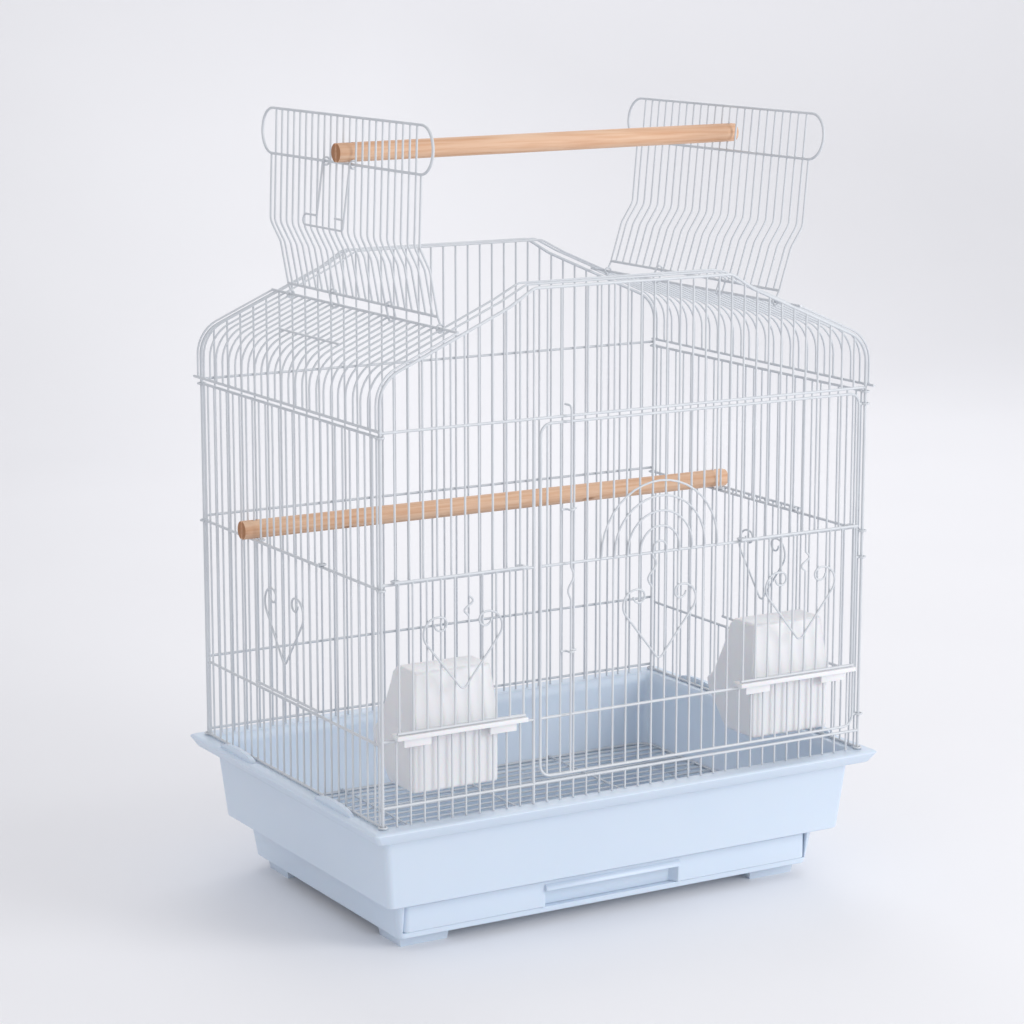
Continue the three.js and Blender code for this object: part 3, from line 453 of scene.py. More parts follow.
def prism(outline, from_x, to_x):
    """A prism across X from an outline of (y, z) points."""
    shell = bmesh.new()
    ends = [[shell.verts.new(at(x, y, z) * MM) for y, z in outline] for x in (from_x, to_x)]
    for i in range(len(outline)):
        j = (i + 1) % len(outline)
        shell.faces.new((ends[0][i], ends[0][j], ends[1][j], ends[1][i]))
    shell.faces.new(reversed(ends[0]))
    shell.faces.new(ends[1])
    return shell


def carve(target, tool_shells, operation):
    """Adds shells to an object or takes them away."""
    for shell in tool_shells:
        tool = as_object(shell, "tool")
        cut = target.modifiers.new("cut", "BOOLEAN")
        cut.operation = operation
        cut.solver = "EXACT"
        cut.object = tool
        apply_modifiers(target)
        bpy.data.objects.remove(tool)


def apply_modifiers(target):
    graph = bpy.context.evaluated_depsgraph_get()
    mesh = bpy.data.meshes.new_from_object(target.evaluated_get(graph))
    target.modifiers.clear()
    target.data = mesh


def soften(target, width, segments=3):
    """Rounds the sharp edges of a moulded piece."""
    bevel = target.modifiers.new("edges", "BEVEL")
    bevel.width = width * MM
    bevel.segments = segments
    bevel.limit_method = "ANGLE"
    bevel.angle_limit = math.radians(40)
    bevel.harden_normals = False
    apply_modifiers(target)
    for polygon in target.data.polygons:
        polygon.use_smooth = True
    target.data.set_sharp_from_angle(angle=math.radians(32))


def plastic_piece(made, name, body, material, node):
    mesh = made.data
    bpy.data.objects.remove(made)
    finish_piece(name, body, mesh, material, node)


# Materials


def linear(code):
    """Linear colour from an sRGB hex value."""
    values = [int(code[i : i + 2], 16) / 255 for i in (0, 2, 4)]
    return [v / 12.92 if v <= 0.04045 else ((v + 0.055) / 1.055) ** 2.4 for v in values] + [1.0]


def new_material(name):
    """A new material, its tree, its surface's inputs and the place on the object."""
    material = bpy.data.materials.new(name)
    material.use_nodes = True
    tree = material.node_tree
    tree.nodes.clear()
    shader = add(tree, "ShaderNodeBsdfPrincipled")
    add(tree, "ShaderNodeOutputMaterial", {"Surface": shader.outputs[0]})
    place = add(tree, "ShaderNodeTexCoord").outputs["Object"]
    return material, tree, shader.inputs, place


def powder_coat():
    """Baked polyester powder on drawn steel wire: soft gloss and a slight orange peel."""
    name = "white powder coat"
    if name in bpy.data.materials:
        return bpy.data.materials[name]
    material, tree, surface, place = new_material(name)
    # The coat's thickness wanders over about 30 mm, which greys the white a little
    drift = add(tree, "ShaderNodeTexNoise", {"Vector": place, "Scale": 33.0, "Detail": 3.0})
    tone = add(tree, "ShaderNodeMix", {
        "Factor": drift.outputs[0],
        6: linear("C6CAD0"),
        7: linear(bpy.context.scene.cage.wire_colour),
    }, data_type="RGBA")
    tree.links.new(tone.outputs[2], surface["Base Color"])
    gloss = add(tree, "ShaderNodeMapRange", {
        "Value": drift.outputs[0], "To Min": 0.26, "To Max": 0.4,
    })
    tree.links.new(gloss.outputs[0], surface["Roughness"])
    # Orange peel, about 0.6 mm across
    peel = add(tree, "ShaderNodeTexNoise", {"Vector": place, "Scale": 1600.0, "Detail": 1.0})
    bump = add(tree, "ShaderNodeBump", {
        "Strength": 0.15, "Distance": 0.00005, "Height": peel.outputs[0],
    })
    tree.links.new(bump.outputs[0], surface["Normal"])
    return material


def moulded_plastic(name, colour, deep, roughness, cloudiness):
    """Injection-moulded plastic: even colour, soft gloss, and a faint flow pattern in the sheen."""
    if name in bpy.data.materials:
        return bpy.data.materials[name]
    material, tree, surface, place = new_material(name)
    # Flow marks from moulding, tens of millimetres across, that hardly change the tone
    flow = add(tree, "ShaderNodeTexNoise", {"Vector": place, "Scale": 14.0, "Detail": 4.0})
    tone = add(tree, "ShaderNodeMix", {
        "Factor": flow.outputs[0], 6: linear(deep), 7: linear(colour),
    }, data_type="RGBA")
    tree.links.new(tone.outputs[2], surface["Base Color"])
    gloss = add(tree, "ShaderNodeMapRange", {
        "Value": flow.outputs[0], "To Min": roughness - 0.05, "To Max": roughness + 0.07,
    })
    tree.links.new(gloss.outputs[0], surface["Roughness"])
    # Fine satin from the mould's surface, about 0.4 mm
    satin = add(tree, "ShaderNodeTexNoise", {"Vector": place, "Scale": 2500.0, "Detail": 2.0})
    bump = add(tree, "ShaderNodeBump", {
        "Strength": 0.12, "Distance": 0.00006, "Height": satin.outputs[0],
    })
    tree.links.new(bump.outputs[0], surface["Normal"])
    surface["IOR"].default_value = 1.49
    surface["Subsurface Weight"].default_value = cloudiness
    surface["Subsurface Scale"].default_value = 0.004
    return material


def dowel_wood():
    """Bare turned softwood: long grain along the rod, darker sawn ends and a few small knots."""
    name = "turned pine dowel"
    if name in bpy.data.materials:
        return bpy.data.materials[name]
    settings = bpy.context.scene.cage
    material, tree, surface, place = new_material(name)
    # Grain lines about 2 mm apart across the rod, drawn out 30 times along it; bands of paler
    # and darker wood, about 110 mm long and 11 mm across; and cells that hold a knot each
    drawn, wide, spread = (
        add(tree, "ShaderNodeMapping", {"Vector": place, "Scale": scale}).outputs[0]
        for scale in ((14.0, 420.0, 420.0), (9.0, 90.0, 90.0), (16.0, 60.0, 60.0))
    )
    grain = add(tree, "ShaderNodeTexNoise", {"Vector": drawn, "Scale": 1.0, "Detail": 5.0})
    bands = add(tree, "ShaderNodeTexNoise", {"Vector": wide, "Scale": 1.0, "Detail": 2.0})
    lines = add(tree, "ShaderNodeMapRange", {
        "Value": grain.outputs[0], "From Min": 0.42, "From Max": 0.72,
    })
    tone = add(tree, "ShaderNodeMix", {
        "Factor": lines.outputs[0],
        6: linear(settings.wood_colour),
        7: linear(settings.grain_colour),
    }, data_type="RGBA")
    shade = add(tree, "ShaderNodeMix", {
        "Factor": 0.35, 6: tone.outputs[2], 7: bands.outputs[0],
    }, data_type="RGBA", blend_type="SOFT_LIGHT")
    # Knots: rare dark spots a few millimetres across
    cells = add(tree, "ShaderNodeTexVoronoi", {"Vector": spread, "Scale": 1.0})
    knots = add(tree, "ShaderNodeMapRange", {
        "Value": cells.outputs["Distance"],
        "From Min": 0.05, "From Max": 0.13, "To Min": 0.75, "To Max": 0.0,
    })
    knotted = add(tree, "ShaderNodeMix", {
        "Factor": knots.outputs[0], 6: shade.outputs[2], 7: linear("8A5636"),
    }, data_type="RGBA")
    # Sawn ends drink in more light and look a darker orange brown
    sawn = add(tree, "ShaderNodeAttribute", attribute_name="end_grain")
    ended = add(tree, "ShaderNodeMix", {
        "Factor": sawn.outputs["Fac"], 6: knotted.outputs[2], 7: linear("A6744E"),
    }, data_type="RGBA")
    tree.links.new(ended.outputs[2], surface["Base Color"])
    rough = add(tree, "ShaderNodeMapRange", {
        "Value": grain.outputs[0], "To Min": 0.5, "To Max": 0.75,
    })
    tree.links.new(rough.outputs[0], surface["Roughness"])
    bump = add(tree, "ShaderNodeBump", {
        "Strength": 0.4, "Distance": 0.0002, "Height": grain.outputs[0],
    })
    tree.links.new(bump.outputs[0], surface["Normal"])
    return material


def tray_plastic():
    return moulded_plastic(
        "pale blue polypropylene", bpy.context.scene.cage.tray_colour, "CFDDED", 0.36, 0.05
    )


def feeder_plastic():
    return moulded_plastic(
        "white polypropylene", bpy.context.scene.cage.feeder_colour, "E3E4E7", 0.34, 0.15
    )


# Shapes shared by several pieces


def gable_path():
    right = [(at(x, 0, z), r) for x, z, r in GABLE]
    left = [(at(-x, 0, z), r) for x, z, r in reversed(GABLE)]
    ends = [(at(HALF_WIDTH, 0, FOOT), 0), (at(-HALF_WIDTH, 0, FOOT), 0)]
    return rounded([ends[0], *right, *left, ends[1]])


def gable_height(x):
    points = gable_path()
    for before, after in zip(points[1:], points[2:]):
        if after.x <= x <= before.x and before.x > after.x:
            return before.z + (before.x - x) / (before.x - after.x) * (after.z - before.z)
    return SHOULDER


def wavy(x, y, low, high, wave_top, height, width=4.5):
    """An upright wire with one double bend."""
    points = [at(x, y, high)]
    for i in range(17):
        share = i / 16
        swell = math.sin(math.tau * share) * width * math.sin(math.pi * share) ** 0.4
        points.append(at(x + swell, y, wave_top - share * height))
    points.append(at(x, y, low))
    return path(points)


def heart(x, y, tip):
    """A heart of one wire, with ends that curl inwards."""
    lobe = at(LOBE_X, 0, LOBE_Z)
    tilt = math.atan2(lobe.z, lobe.x)
    spread = math.acos(LOBE_RADIUS / lobe.length)
    half = arc(lobe, LOBE_RADIUS, tilt + spread - math.pi, LOBE_END)
    inwards = LOBE_RADIUS - CURL_RADIUS
    curl = lobe + inwards * at(math.cos(LOBE_END), 0, math.sin(LOBE_END))
    half += arc(curl, CURL_RADIUS, LOBE_END, math.tau)[1:]
    other = [at(-p.x, 0, p.z) for p in reversed(half)]
    point = rounded([(other[-1], 0), (at(0, 0, 0), HEART_POINT_RADIUS), (half[0], 0)])
    return path(moved(other + point[1:-1] + half, x, y, tip))


# Operators


class CAGE_OT_tray(bpy.types.Operator):
    """Build the tray with its rim, feet and lugs"""

    bl_idname = "cage.tray"
    bl_label = "Tray"

    def execute(self, context):
        rings = [(HALF_WIDTH - inset, HALF_DEPTH - inset, r, z) for inset, z, r in TRAY_RINGS]
        tray = as_object(loft(rings), "tray")
        carve(tray, [box((-201.8, -170, 16), (201.8, -126.6, 40.3))], "DIFFERENCE")
        extras = []
        for sx in (-1, 1):
            for sy in (-1, 1):
                extras.append(self.foot(sx * FOOT_X, sy * FOOT_Y))
                extras.append(self.lug(sx * (HALF_WIDTH + LUG_OFFSET), sy * LUG_Y))
        carve(tray, extras, "UNION")
        soften(tray, 0.8, 2)
        plastic_piece(tray, "tray_body", "cage", tray_plastic(), "base_tray")
        return {"FINISHED"}

    def foot(self, x, y):
        """A foot that narrows to its sole."""
        shell = box((x - 24, y - 20, 0), (x + 24, y + 20, 13.7))
        for vert in shell.verts:
            if vert.co.z < MM:
                vert.co.x -= math.copysign(FOOT_TAPER * MM, vert.co.x - x * MM)
                vert.co.y -= math.copysign(FOOT_TAPER * MM, vert.co.y - y * MM)
        return shell

    def lug(self, x, y):
        """A low hump on the rim, outside the wires."""
        half, rise, wall = 32, 6, 4
        angles = [math.radians(degrees) for degrees in range(-84, 85, 12)]
        hump = [(y + half * math.sin(a), RIM_LEVEL + rise * math.cos(a)) for a in angles]
        start = [(y - half - 2, RIM_LEVEL - 4), (y - half, RIM_LEVEL - 1)]
        end = [(y + half, RIM_LEVEL - 1), (y + half + 2, RIM_LEVEL - 4)]
        return prism([*start, *hump, *end], x - wall / 2, x + wall / 2)


class CAGE_OT_drawer(bpy.types.Operator):
    """Build the pull-out drawer with its recessed pull"""

    bl_idname = "cage.drawer"
    bl_label = "Drawer"

    def execute(self, context):
        half_y, centre = (DRAWER_BACK - DRAWER_FRONT) / 2, (DRAWER_BACK + DRAWER_FRONT) / 2
        rings = [(half_x, half_y - less, radius, z) for half_x, less, radius, z in DRAWER_RINGS]
        pan = as_object(loft(rings, centre), "drawer")
        backing = box((-69.2, DRAWER_FRONT, DRAWER_BOTTOM), (69.2, -123.4, DRAWER_TOP))
        carve(pan, [backing], "UNION")
        pocket = box((-PULL_HALF, DRAWER_FRONT - 0.1, 10), (PULL_HALF, PULL_BACK, PULL_TOP))
        for vert in pocket.verts:
            if vert.co.y > (DRAWER_FRONT + PULL_BACK) / 2 * MM:
                vert.co.x -= math.copysign(PULL_TAPER * MM, vert.co.x)
        carve(pan, [pocket], "DIFFERENCE")
        carve(pan, [prism(PULL_LIP, -PULL_HALF - 0.1, PULL_HALF + 0.1)], "UNION")
        soften(pan, 0.5, 2)
        material = tray_plastic()
        plastic_piece(pan, "drawer_pan", "drawer", material, "slide_out_drawer")
        return {"FINISHED"}


class CAGE_OT_grate(bpy.types.Operator):
    """Build the floor grate of crossed wires"""

    bl_idname = "cage.grate"
    bl_label = "Floor grate"

    def execute(self, context):
        x, y, z, cross_z, spacing = 220, 150.3, 50.6, 52.4, 110
        corners = (at(-x, -y, z), at(x, -y, z), at(x, y, z), at(-x, y, z))
        edge = rounded([(corner, 16.0) for corner in corners])
        long_wire = straight(at(-x, -11 * PITCH, z), at(x, -11 * PITCH, z))
        cross = straight(at(-spacing, -y, cross_z), at(-spacing, y, cross_z))
        rows = [
            row([path(edge, "rail", True)]),
            row([long_wire], 23, (0, PITCH, 0)),
            row([cross], 3, (spacing, 0, 0)),
        ]
        wirework("floor_grate", "cage", rows)
        return {"FINISHED"}


class CAGE_OT_front_and_back(bpy.types.Operator):
    """Build the front frame and the back panel"""

    bl_idname = "cage.front_and_back"
    bl_label = "Front and back"

    def execute(self, context):
        first = -HALF_WIDTH + PITCH
        jamb = -HALF_WIDTH + JAMB_PITCHES * PITCH
        door_wires = FRONT_PITCHES - JAMB_PITCHES - 1
        tops = [-HALF_WIDTH + PITCH * k for k in range(1, FRONT_PITCHES)]
        front = [
            row([path(gable_path(), "post"), upright(jamb, FOOT, SHOULDER, "post")]),
            row([level(z, -HALF_WIDTH, HALF_WIDTH) for z in (BOTTOM, SHOULDER)]),
            row([level(z, -HALF_WIDTH, jamb) for z in (LOW, MID)]),
            row([upright(first, FOOT, LOW)], JAMB_PITCHES - 1, (PITCH, 0, 0)),
            row([upright(jamb + PITCH, FOOT, BOTTOM)], door_wires, (PITCH, 0, 0)),
            row([upright(x, MID if x < jamb - 1 else SHOULDER, gable_height(x)) for x in tops]),
        ]
        wirework("front_frame", "cage", front, facing(0, -HALF_DEPTH, 0))
        levels = (RIM_RAIL, LOW, MID, SHOULDER)
        back = [
            row([path(gable_path(), "post")]),
            row([level(z, -HALF_WIDTH, HALF_WIDTH, "rail", BACK_RAIL_Y) for z in levels]),
            row([upright(x, FOOT, gable_height(x)) for x in tops]),
        ]
        wirework("back_panel", "cage", back, facing(0, HALF_DEPTH, math.pi))
        return {"FINISHED"}


class CAGE_OT_side_panels(bpy.types.Operator):
    """Build the two side panels with their feeder apertures"""

    bl_idname = "cage.side_panels"
    bl_label = "Side panels"

    def execute(self, context):
        bottom, low, mid, top = (z - SIDE_DROP for z in (RIM_RAIL, LOW, MID, SHOULDER))
        for side, name in ((-1, "left"), (1, "right")):
            gap_centre = -side * PITCH / 2
            places = [PITCH * k for k in range(-12, 13)]
            cut = [x for x in places if abs(x - gap_centre) < 5 * PITCH]
            whole = [-SIDE_EDGE, SIDE_EDGE] + [x for x in places if x not in cut]
            reach = HALF_DEPTH - EYE_OF_POST
            rows = [
                row([level(z, -reach, reach) for z in (bottom, mid, top)]),
                row([level(low, -SIDE_EDGE, SIDE_EDGE)]),
                row([upright(x, FOOT, top) for x in whole]),
                row([upright(cut[0], FOOT, low)], len(cut), (PITCH, 0, 0)),
                row([upright(cut[0], mid, top)], len(cut), (PITCH, 0, 0)),
                row([
                    eye_path(at(end, 0, z), EYE_OF_POST, "Z")
                    for end in (-HALF_DEPTH, HALF_DEPTH)
                    for z in (bottom, mid, top)
                ]),
            ]
            place = facing(side * HALF_WIDTH, 0, side * math.pi / 2)
            wirework(name + "_side_panel", "cage", rows, place)
        return {"FINISHED"}


def roof_height(x):
    return EAVES_Z + (EAVES_X - x) * math.tan(SLOPE)


class CAGE_OT_roof(bpy.types.Operator):
    """Build the roof: curved ends, hinge rails and the ribs over the crown"""

    bl_idname = "cage.roof"
    bl_label = "Roof"

    def execute(self, context):
        eaves = [
            (at(EAVES_X, 0, EAVES_RAIL), 0),
            (at(EAVES_X, 0, EAVES_Z), EAVES_RADIUS + ROOF_OFFSET),
        ]
        short = rounded([*eaves, (at(HINGE_X, 0, HINGE_Z), 0)])
        ridge = [at(KNEE_X, 0, roof_height(KNEE_X)), at(CROWN_X, 0, CROWN_RIB_Z)]
        half = [*eaves, *((point, RIDGE_RADIUS) for point in ridge)]
        other = [(at(-point.x, 0, point.z), radius) for point, radius in reversed(half)]
        over = rounded([*half, *other])
        rows = []
        for y in (-12 * PITCH, 11 * PITCH):
            rows.append(row([path(moved(over, 0, y, 0))], 2, (0, PITCH, 0)))
        end, reach = HALF_DEPTH + 0.8, HALF_DEPTH + 8
        for side in (-1, 1):
            rib = [at(side * p.x, p.y, p.z) for p in short]
            for y, copies in ((-HALF_DEPTH, 1), (-10 * PITCH, 21), (HALF_DEPTH, 1)):
                rows.append(row([path(moved(rib, 0, y, 0))], copies, (0, PITCH, 0)))
            for x, z, half_length in ((EAVES_X, EAVES_RAIL, reach), (HINGE_X, HINGE_Z, end)):
                x *= side
                rows.append(row([straight(at(x, -half_length, z), at(x, half_length, z), "rail")]))
        x, half_length = 212, 54
        z = roof_height(x) + 1.4
        rows.append(row([straight(at(-x, -half_length, z), at(-x, half_length, z))]))
        wirework("roof_frame", "cage", rows)
        return {"FINISHED"}


def flap_place(side, tilt):
    """Where a flap, drawn upright over its hinge, stands in the cage."""
    turn = Matrix.Rotation(math.pi if side < 0 else 0, 4, "Z")
    return Matrix.Translation((side * HINGE_X, 0, HINGE_Z)) @ turn @ Matrix.Rotation(tilt, 4, "Y")


class CAGE_OT_flaps(bpy.types.Operator):
    """Build the two roof flaps, their hinge clips and the top latch"""

    bl_idname = "cage.flaps"
    bl_label = "Flaps"

    def execute(self, context):
        span = FLAP_PITCHES / 2 * FLAP_PITCH
        leg = span + FLAP_LEG_REACH
        tip = span + FLAP_LOOP_REACH
        bends = [(at(FLAP_BENDS[0][1], 0, FLAP_BENDS[0][0]), 0)]
        bends += [(at(v, 0, u), FLAP_BEND_RADIUS) for u, v in FLAP_BENDS[1:]]

        def across(y, top, start=()):
            corners = [*start, *bends, (at(FLAP_FACE, 0, top), 0)]
            return path(moved(rounded(corners), 0, FLAP_SHIFT + y, 0))

        corners = [
            at(FLAP_FACE, FLAP_SHIFT - tip, FLAP_LOWER),
            at(FLAP_FACE, FLAP_SHIFT + tip, FLAP_LOWER),
            at(FLAP_FACE, FLAP_SHIFT + tip, FLAP_TOP),
            at(FLAP_FACE, FLAP_SHIFT - tip, FLAP_TOP),
        ]
        loop = rounded([(c, (FLAP_TOP - FLAP_LOWER) / 2) for c in corners])
        foot = [(at(0, 0, EYE_OF_RAIL), 0)]
        for side, name, tilt in ((-1, "left", LEFT_TILT), (1, "right", RIGHT_TILT)):
            low_u, low_v = FLAP_BENDS[0]
            ends = [FLAP_SHIFT - leg, FLAP_SHIFT + leg]
            rows = [
                row([path(loop[:-1], "rail", True)]),
                row([straight(*(at(low_v, y, low_u) for y in ends), "rail")]),
                row([across(-span, FLAP_TOP)], FLAP_PITCHES + 1, (0, FLAP_PITCH, 0)),
                row([across(y, FLAP_LOWER, foot) for y in (-leg, leg)]),
                row([eye_path(at(0, y, 0), EYE_OF_RAIL, "Y") for y in ends]),
            ]
            body = "flap_" + name
            place = flap_place(side, tilt)
            wirework(name + "_flap", body, rows, place)
            parts = ("front", "back") if side < 0 else ("back", "front")
            for part, y in zip(parts, CLIP_PLACES):
                wirework(name + "_hinge_clip_" + part, body, [row([self.clip_path(y)])], place)
        self.latch()
        return {"FINISHED"}

    def clip_path(self, y):
        top = at(FLAP_BENDS[0][1], 0, FLAP_BENDS[0][0])
        along = top.normalized()
        out = at(along.z, 0, -along.x) * EYE_OF_RAIL
        low, high = along * -EYE_OF_RAIL, top + along * EYE_OF_RAIL
        corners = [low + out, high + out, high - out, low - out]
        points = rounded([(c, EYE_OF_RAIL * 0.9) for c in corners], math.radians(15))
        return path(moved(points, 0, y, 0), "wire", True)

    def latch(self):
        left, right, hook, stub = -26.3, 22, -50.3, 6
        length, bar, lean = 45, 54, 4.6

        def place(y, drop):
            return at(EYE_OF_RAIL + lean * drop / length, y, -drop)

        loop = rounded([
            (place(left, 0), 0),
            (place(left, length), 3.0),
            (place(hook, length), 4.5),
            (place(hook, bar), 4.5),
            (place(right, bar), 3.0),
            (place(right, 0), 0),
        ])
        rows = [
            row([path(loop), straight(place(right, length), place(stub, length))]),
            row([eye_path(at(0, y, 0), EYE_OF_RAIL, "Y") for y in (left, right)]),
        ]
        turned = flap_place(-1, LEFT_TILT) @ Matrix.Translation((FLAP_FACE, 0, FLAP_LOWER))
        wirework("top_latch", "flap_latch", rows, turned)


class CAGE_OT_main_door(bpy.types.Operator):
    """Build the main door, its latch rod and the rod's guides"""

    bl_idname = "cage.main_door"
    bl_label = "Main door"

    def execute(self, context):
        place = facing(0, -HALF_DEPTH, 0)
        wires = [-HALF_WIDTH + PITCH * k for k in range(JAMB_PITCHES + 1, FRONT_PITCHES)]
        cut = wires[15:]
        rows = [
            row([frame_path((DOOR_LEFT, DOOR_BOTTOM), (DOOR_RIGHT, DOOR_TOP), DOOR_CORNER)]),
            row([level(z, DOOR_LEFT, DOOR_RIGHT) for z in (LOW, MID)]),
            row([upright(wires[0], DOOR_BOTTOM, DOOR_TOP)], 8, (PITCH, 0, 0)),
            row([upright(wires[9], DOOR_BOTTOM, DOOR_TOP)], 6, (PITCH, 0, 0)),
            row([
                upright(wires[8], DOOR_BOTTOM, LOW),
                wavy(wires[8], 0, LOW, MID, WAVE_TOP, WAVE_HEIGHT),
                upright(wires[8], MID, DOOR_TOP),
            ]),
            row([upright(cut[0], DOOR_BOTTOM, LOW)], len(cut), (PITCH, 0, 0)),
            row([upright(cut[0], MID, DOOR_TOP)], len(cut), (PITCH, 0, 0)),
            row([heart(ARCH_X, TRIM_Y, HEART_TIP)]),
        ]
        for count in range(ARCHES):
            radius = (count + 0.5) * PITCH
            bow = arc(at(ARCH_X, TRIM_Y, MID + ARCH_RISE), radius, 0, math.pi)
            feet = [at(ARCH_X + side * radius, -0.9, MID) for side in (1, -1)]
            rows.append(row([path([feet[0], *bow, feet[1]])]))
        for share in HINGE_EYE_SHARES:
            z = DOOR_BOTTOM + share * (DOOR_TOP - DOOR_BOTTOM)
            stub = straight(at(DOOR_RIGHT, 0, z), at(HALF_WIDTH - EYE_OF_POST, 0, z))
            rows.append(row([stub, eye_path(at(HALF_WIDTH, 0, z), EYE_OF_POST, "Z")]))
        wirework("main_door", "door", rows, place)
        x, y = ROD_X, ROD_Y
        bend = wavy(x, y, ROD_BOTTOM, ROD_WAVE_FROM, WAVE_TOP, WAVE_HEIGHT, 3.0)["points"][1:]
        top = rounded([(bend[0], 0), (at(x, y, ROD_TOP), 4.0), (at(x, y + 10, ROD_TOP), 0)])
        rod = path(list(reversed(top)) + bend[1:])
        wirework("door_latch_rod", "latch_rod", [row([rod])], place)
        corners = GUIDE_CORNERS + [(-x, depth, r) for x, depth, r in reversed(GUIDE_CORNERS)]
        for name, z in GUIDE_LEVELS:
            staple = rounded([(at(ROD_X + x, depth, z), r) for x, depth, r in corners])
            wirework("door_latch_guide_" + name, "door", [row([path(staple)])], place)
        return {"FINISHED"}


class CAGE_OT_feeder_doors(bpy.types.Operator):
    """Build the four sliding feeder doors"""

    bl_idname = "cage.feeder_doors"
    bl_label = "Feeder doors"

    def execute(self, context):
        half = 4.5 * PITCH
        y = FEEDER_DOOR_Y
        low = -FEEDER_DOOR_HEIGHT
        rails = [
            level(z, -half - reach, half + reach, "rail", y)
            for z, reach in ((0, TOP_RAIL_REACH), (low, LOW_RAIL_REACH))
        ]
        plain = [
            row(rails),
            row([upright(-half, low, 0, "wire", y)], 5, (PITCH, 0, 0)),
            row([upright(-half + 6 * PITCH, low, 0, "wire", y)], 4, (PITCH, 0, 0)),
            row([eye_path(at(x, 0, 0), EYE_OF_WIRE, "Z") for x in (-half, half)]),
            row([straight(at(x, y, 0), at(x, -EYE_OF_WIRE, 0)) for x in (-half, half)]),
        ]
        bent, tip, trim = -half + 5 * PITCH, HEART_TIP - SLIDE_LEVEL, y + TRIM_Y
        front = [*plain, row([wavy(bent, y, low, 0, -17, 17), heart(0, trim, tip)])]
        side = [*plain, row([upright(bent, low, 0, "wire", y), heart(0, trim, tip - 3)])]
        doors = [
            ("front_left", front, -FEEDER_CENTRE, -HALF_DEPTH, 0, 0),
            ("front_right", front, FEEDER_CENTRE, -HALF_DEPTH, 0, 0),
            ("left", side, -HALF_WIDTH, -PITCH / 2, -math.pi / 2, SIDE_DROP),
            ("right", side, HALF_WIDTH, -PITCH / 2, math.pi / 2, SIDE_DROP),
        ]
        for name, rows, x, depth, turn, drop in doors:
            place = Matrix.Translation((0, 0, SLIDE_LEVEL - drop)) @ facing(x, depth, turn)
            wirework(name + "_feeder_door", "feeder_door_" + name, rows, place)
        return {"FINISHED"}


def shrunk(outline, wall):
    """An anticlockwise outline moved inwards by a wall."""
    moved = []
    for index, corner in enumerate(outline):
        here = Vector(corner)
        before = Vector(outline[index - 1])
        after = Vector(outline[(index + 1) % len(outline)])
        arriving, leaving = (here - before).normalized(), (after - here).normalized()
        turn = arriving + leaving
        moved.append(here + Vector((-turn.y, turn.x)) * wall / (1 + arriving.dot(leaving)))
    return moved


class CAGE_OT_feeders(bpy.types.Operator):
    """Build the two feeders with their jutting bowls"""

    bl_idname = "cage.feeders"
    bl_label = "Feeders"

    def tapered(self, outline, half, top_half):
        """A prism across X whose upper part narrows."""
        shell = prism(outline, -half, half)
        for vert in shell.verts:
            share = max(0.0, (vert.co.z / MM - FEEDER_TAPER_FROM) / FEEDER_TAPER_RISE)
            vert.co.x *= 1 + (top_half / half - 1) * share
        return shell

    def execute(self, context):
        half, top, wall = 39.5, 35, 2
        for name, body, side in (("front_left", "cage", -1), ("front_right", "door", 1)):
            cup = as_object(self.tapered(FEEDER_OUTLINE, half, top), "cup")
            soften(cup, 3.0, 4)
            hollow = self.tapered(shrunk(FEEDER_OUTLINE, wall), half - wall, top - wall)
            opening = box((-35, 50, 183), (35, 90, 222))
            carve(cup, [hollow, opening], "DIFFERENCE")
            shelf = [box((-60, -8.5, 191.04), (60, 4.1, 194.56))]
            for x in (-half, half):
                shelf.append(box((x - 12.25, -3.54, 183.6), (x + 12.25, -1.54, 191.2)))
            carve(cup, shelf, "UNION")
            soften(cup, 0.5, 2)
            cup.data.transform(Matrix.Translation(at(side * FEEDER_CENTRE, -HALF_DEPTH, 0) * MM))
            node = name + "_feeder"
            plastic_piece(cup, name + "_cup", body, feeder_plastic(), node)
        return {"FINISHED"}


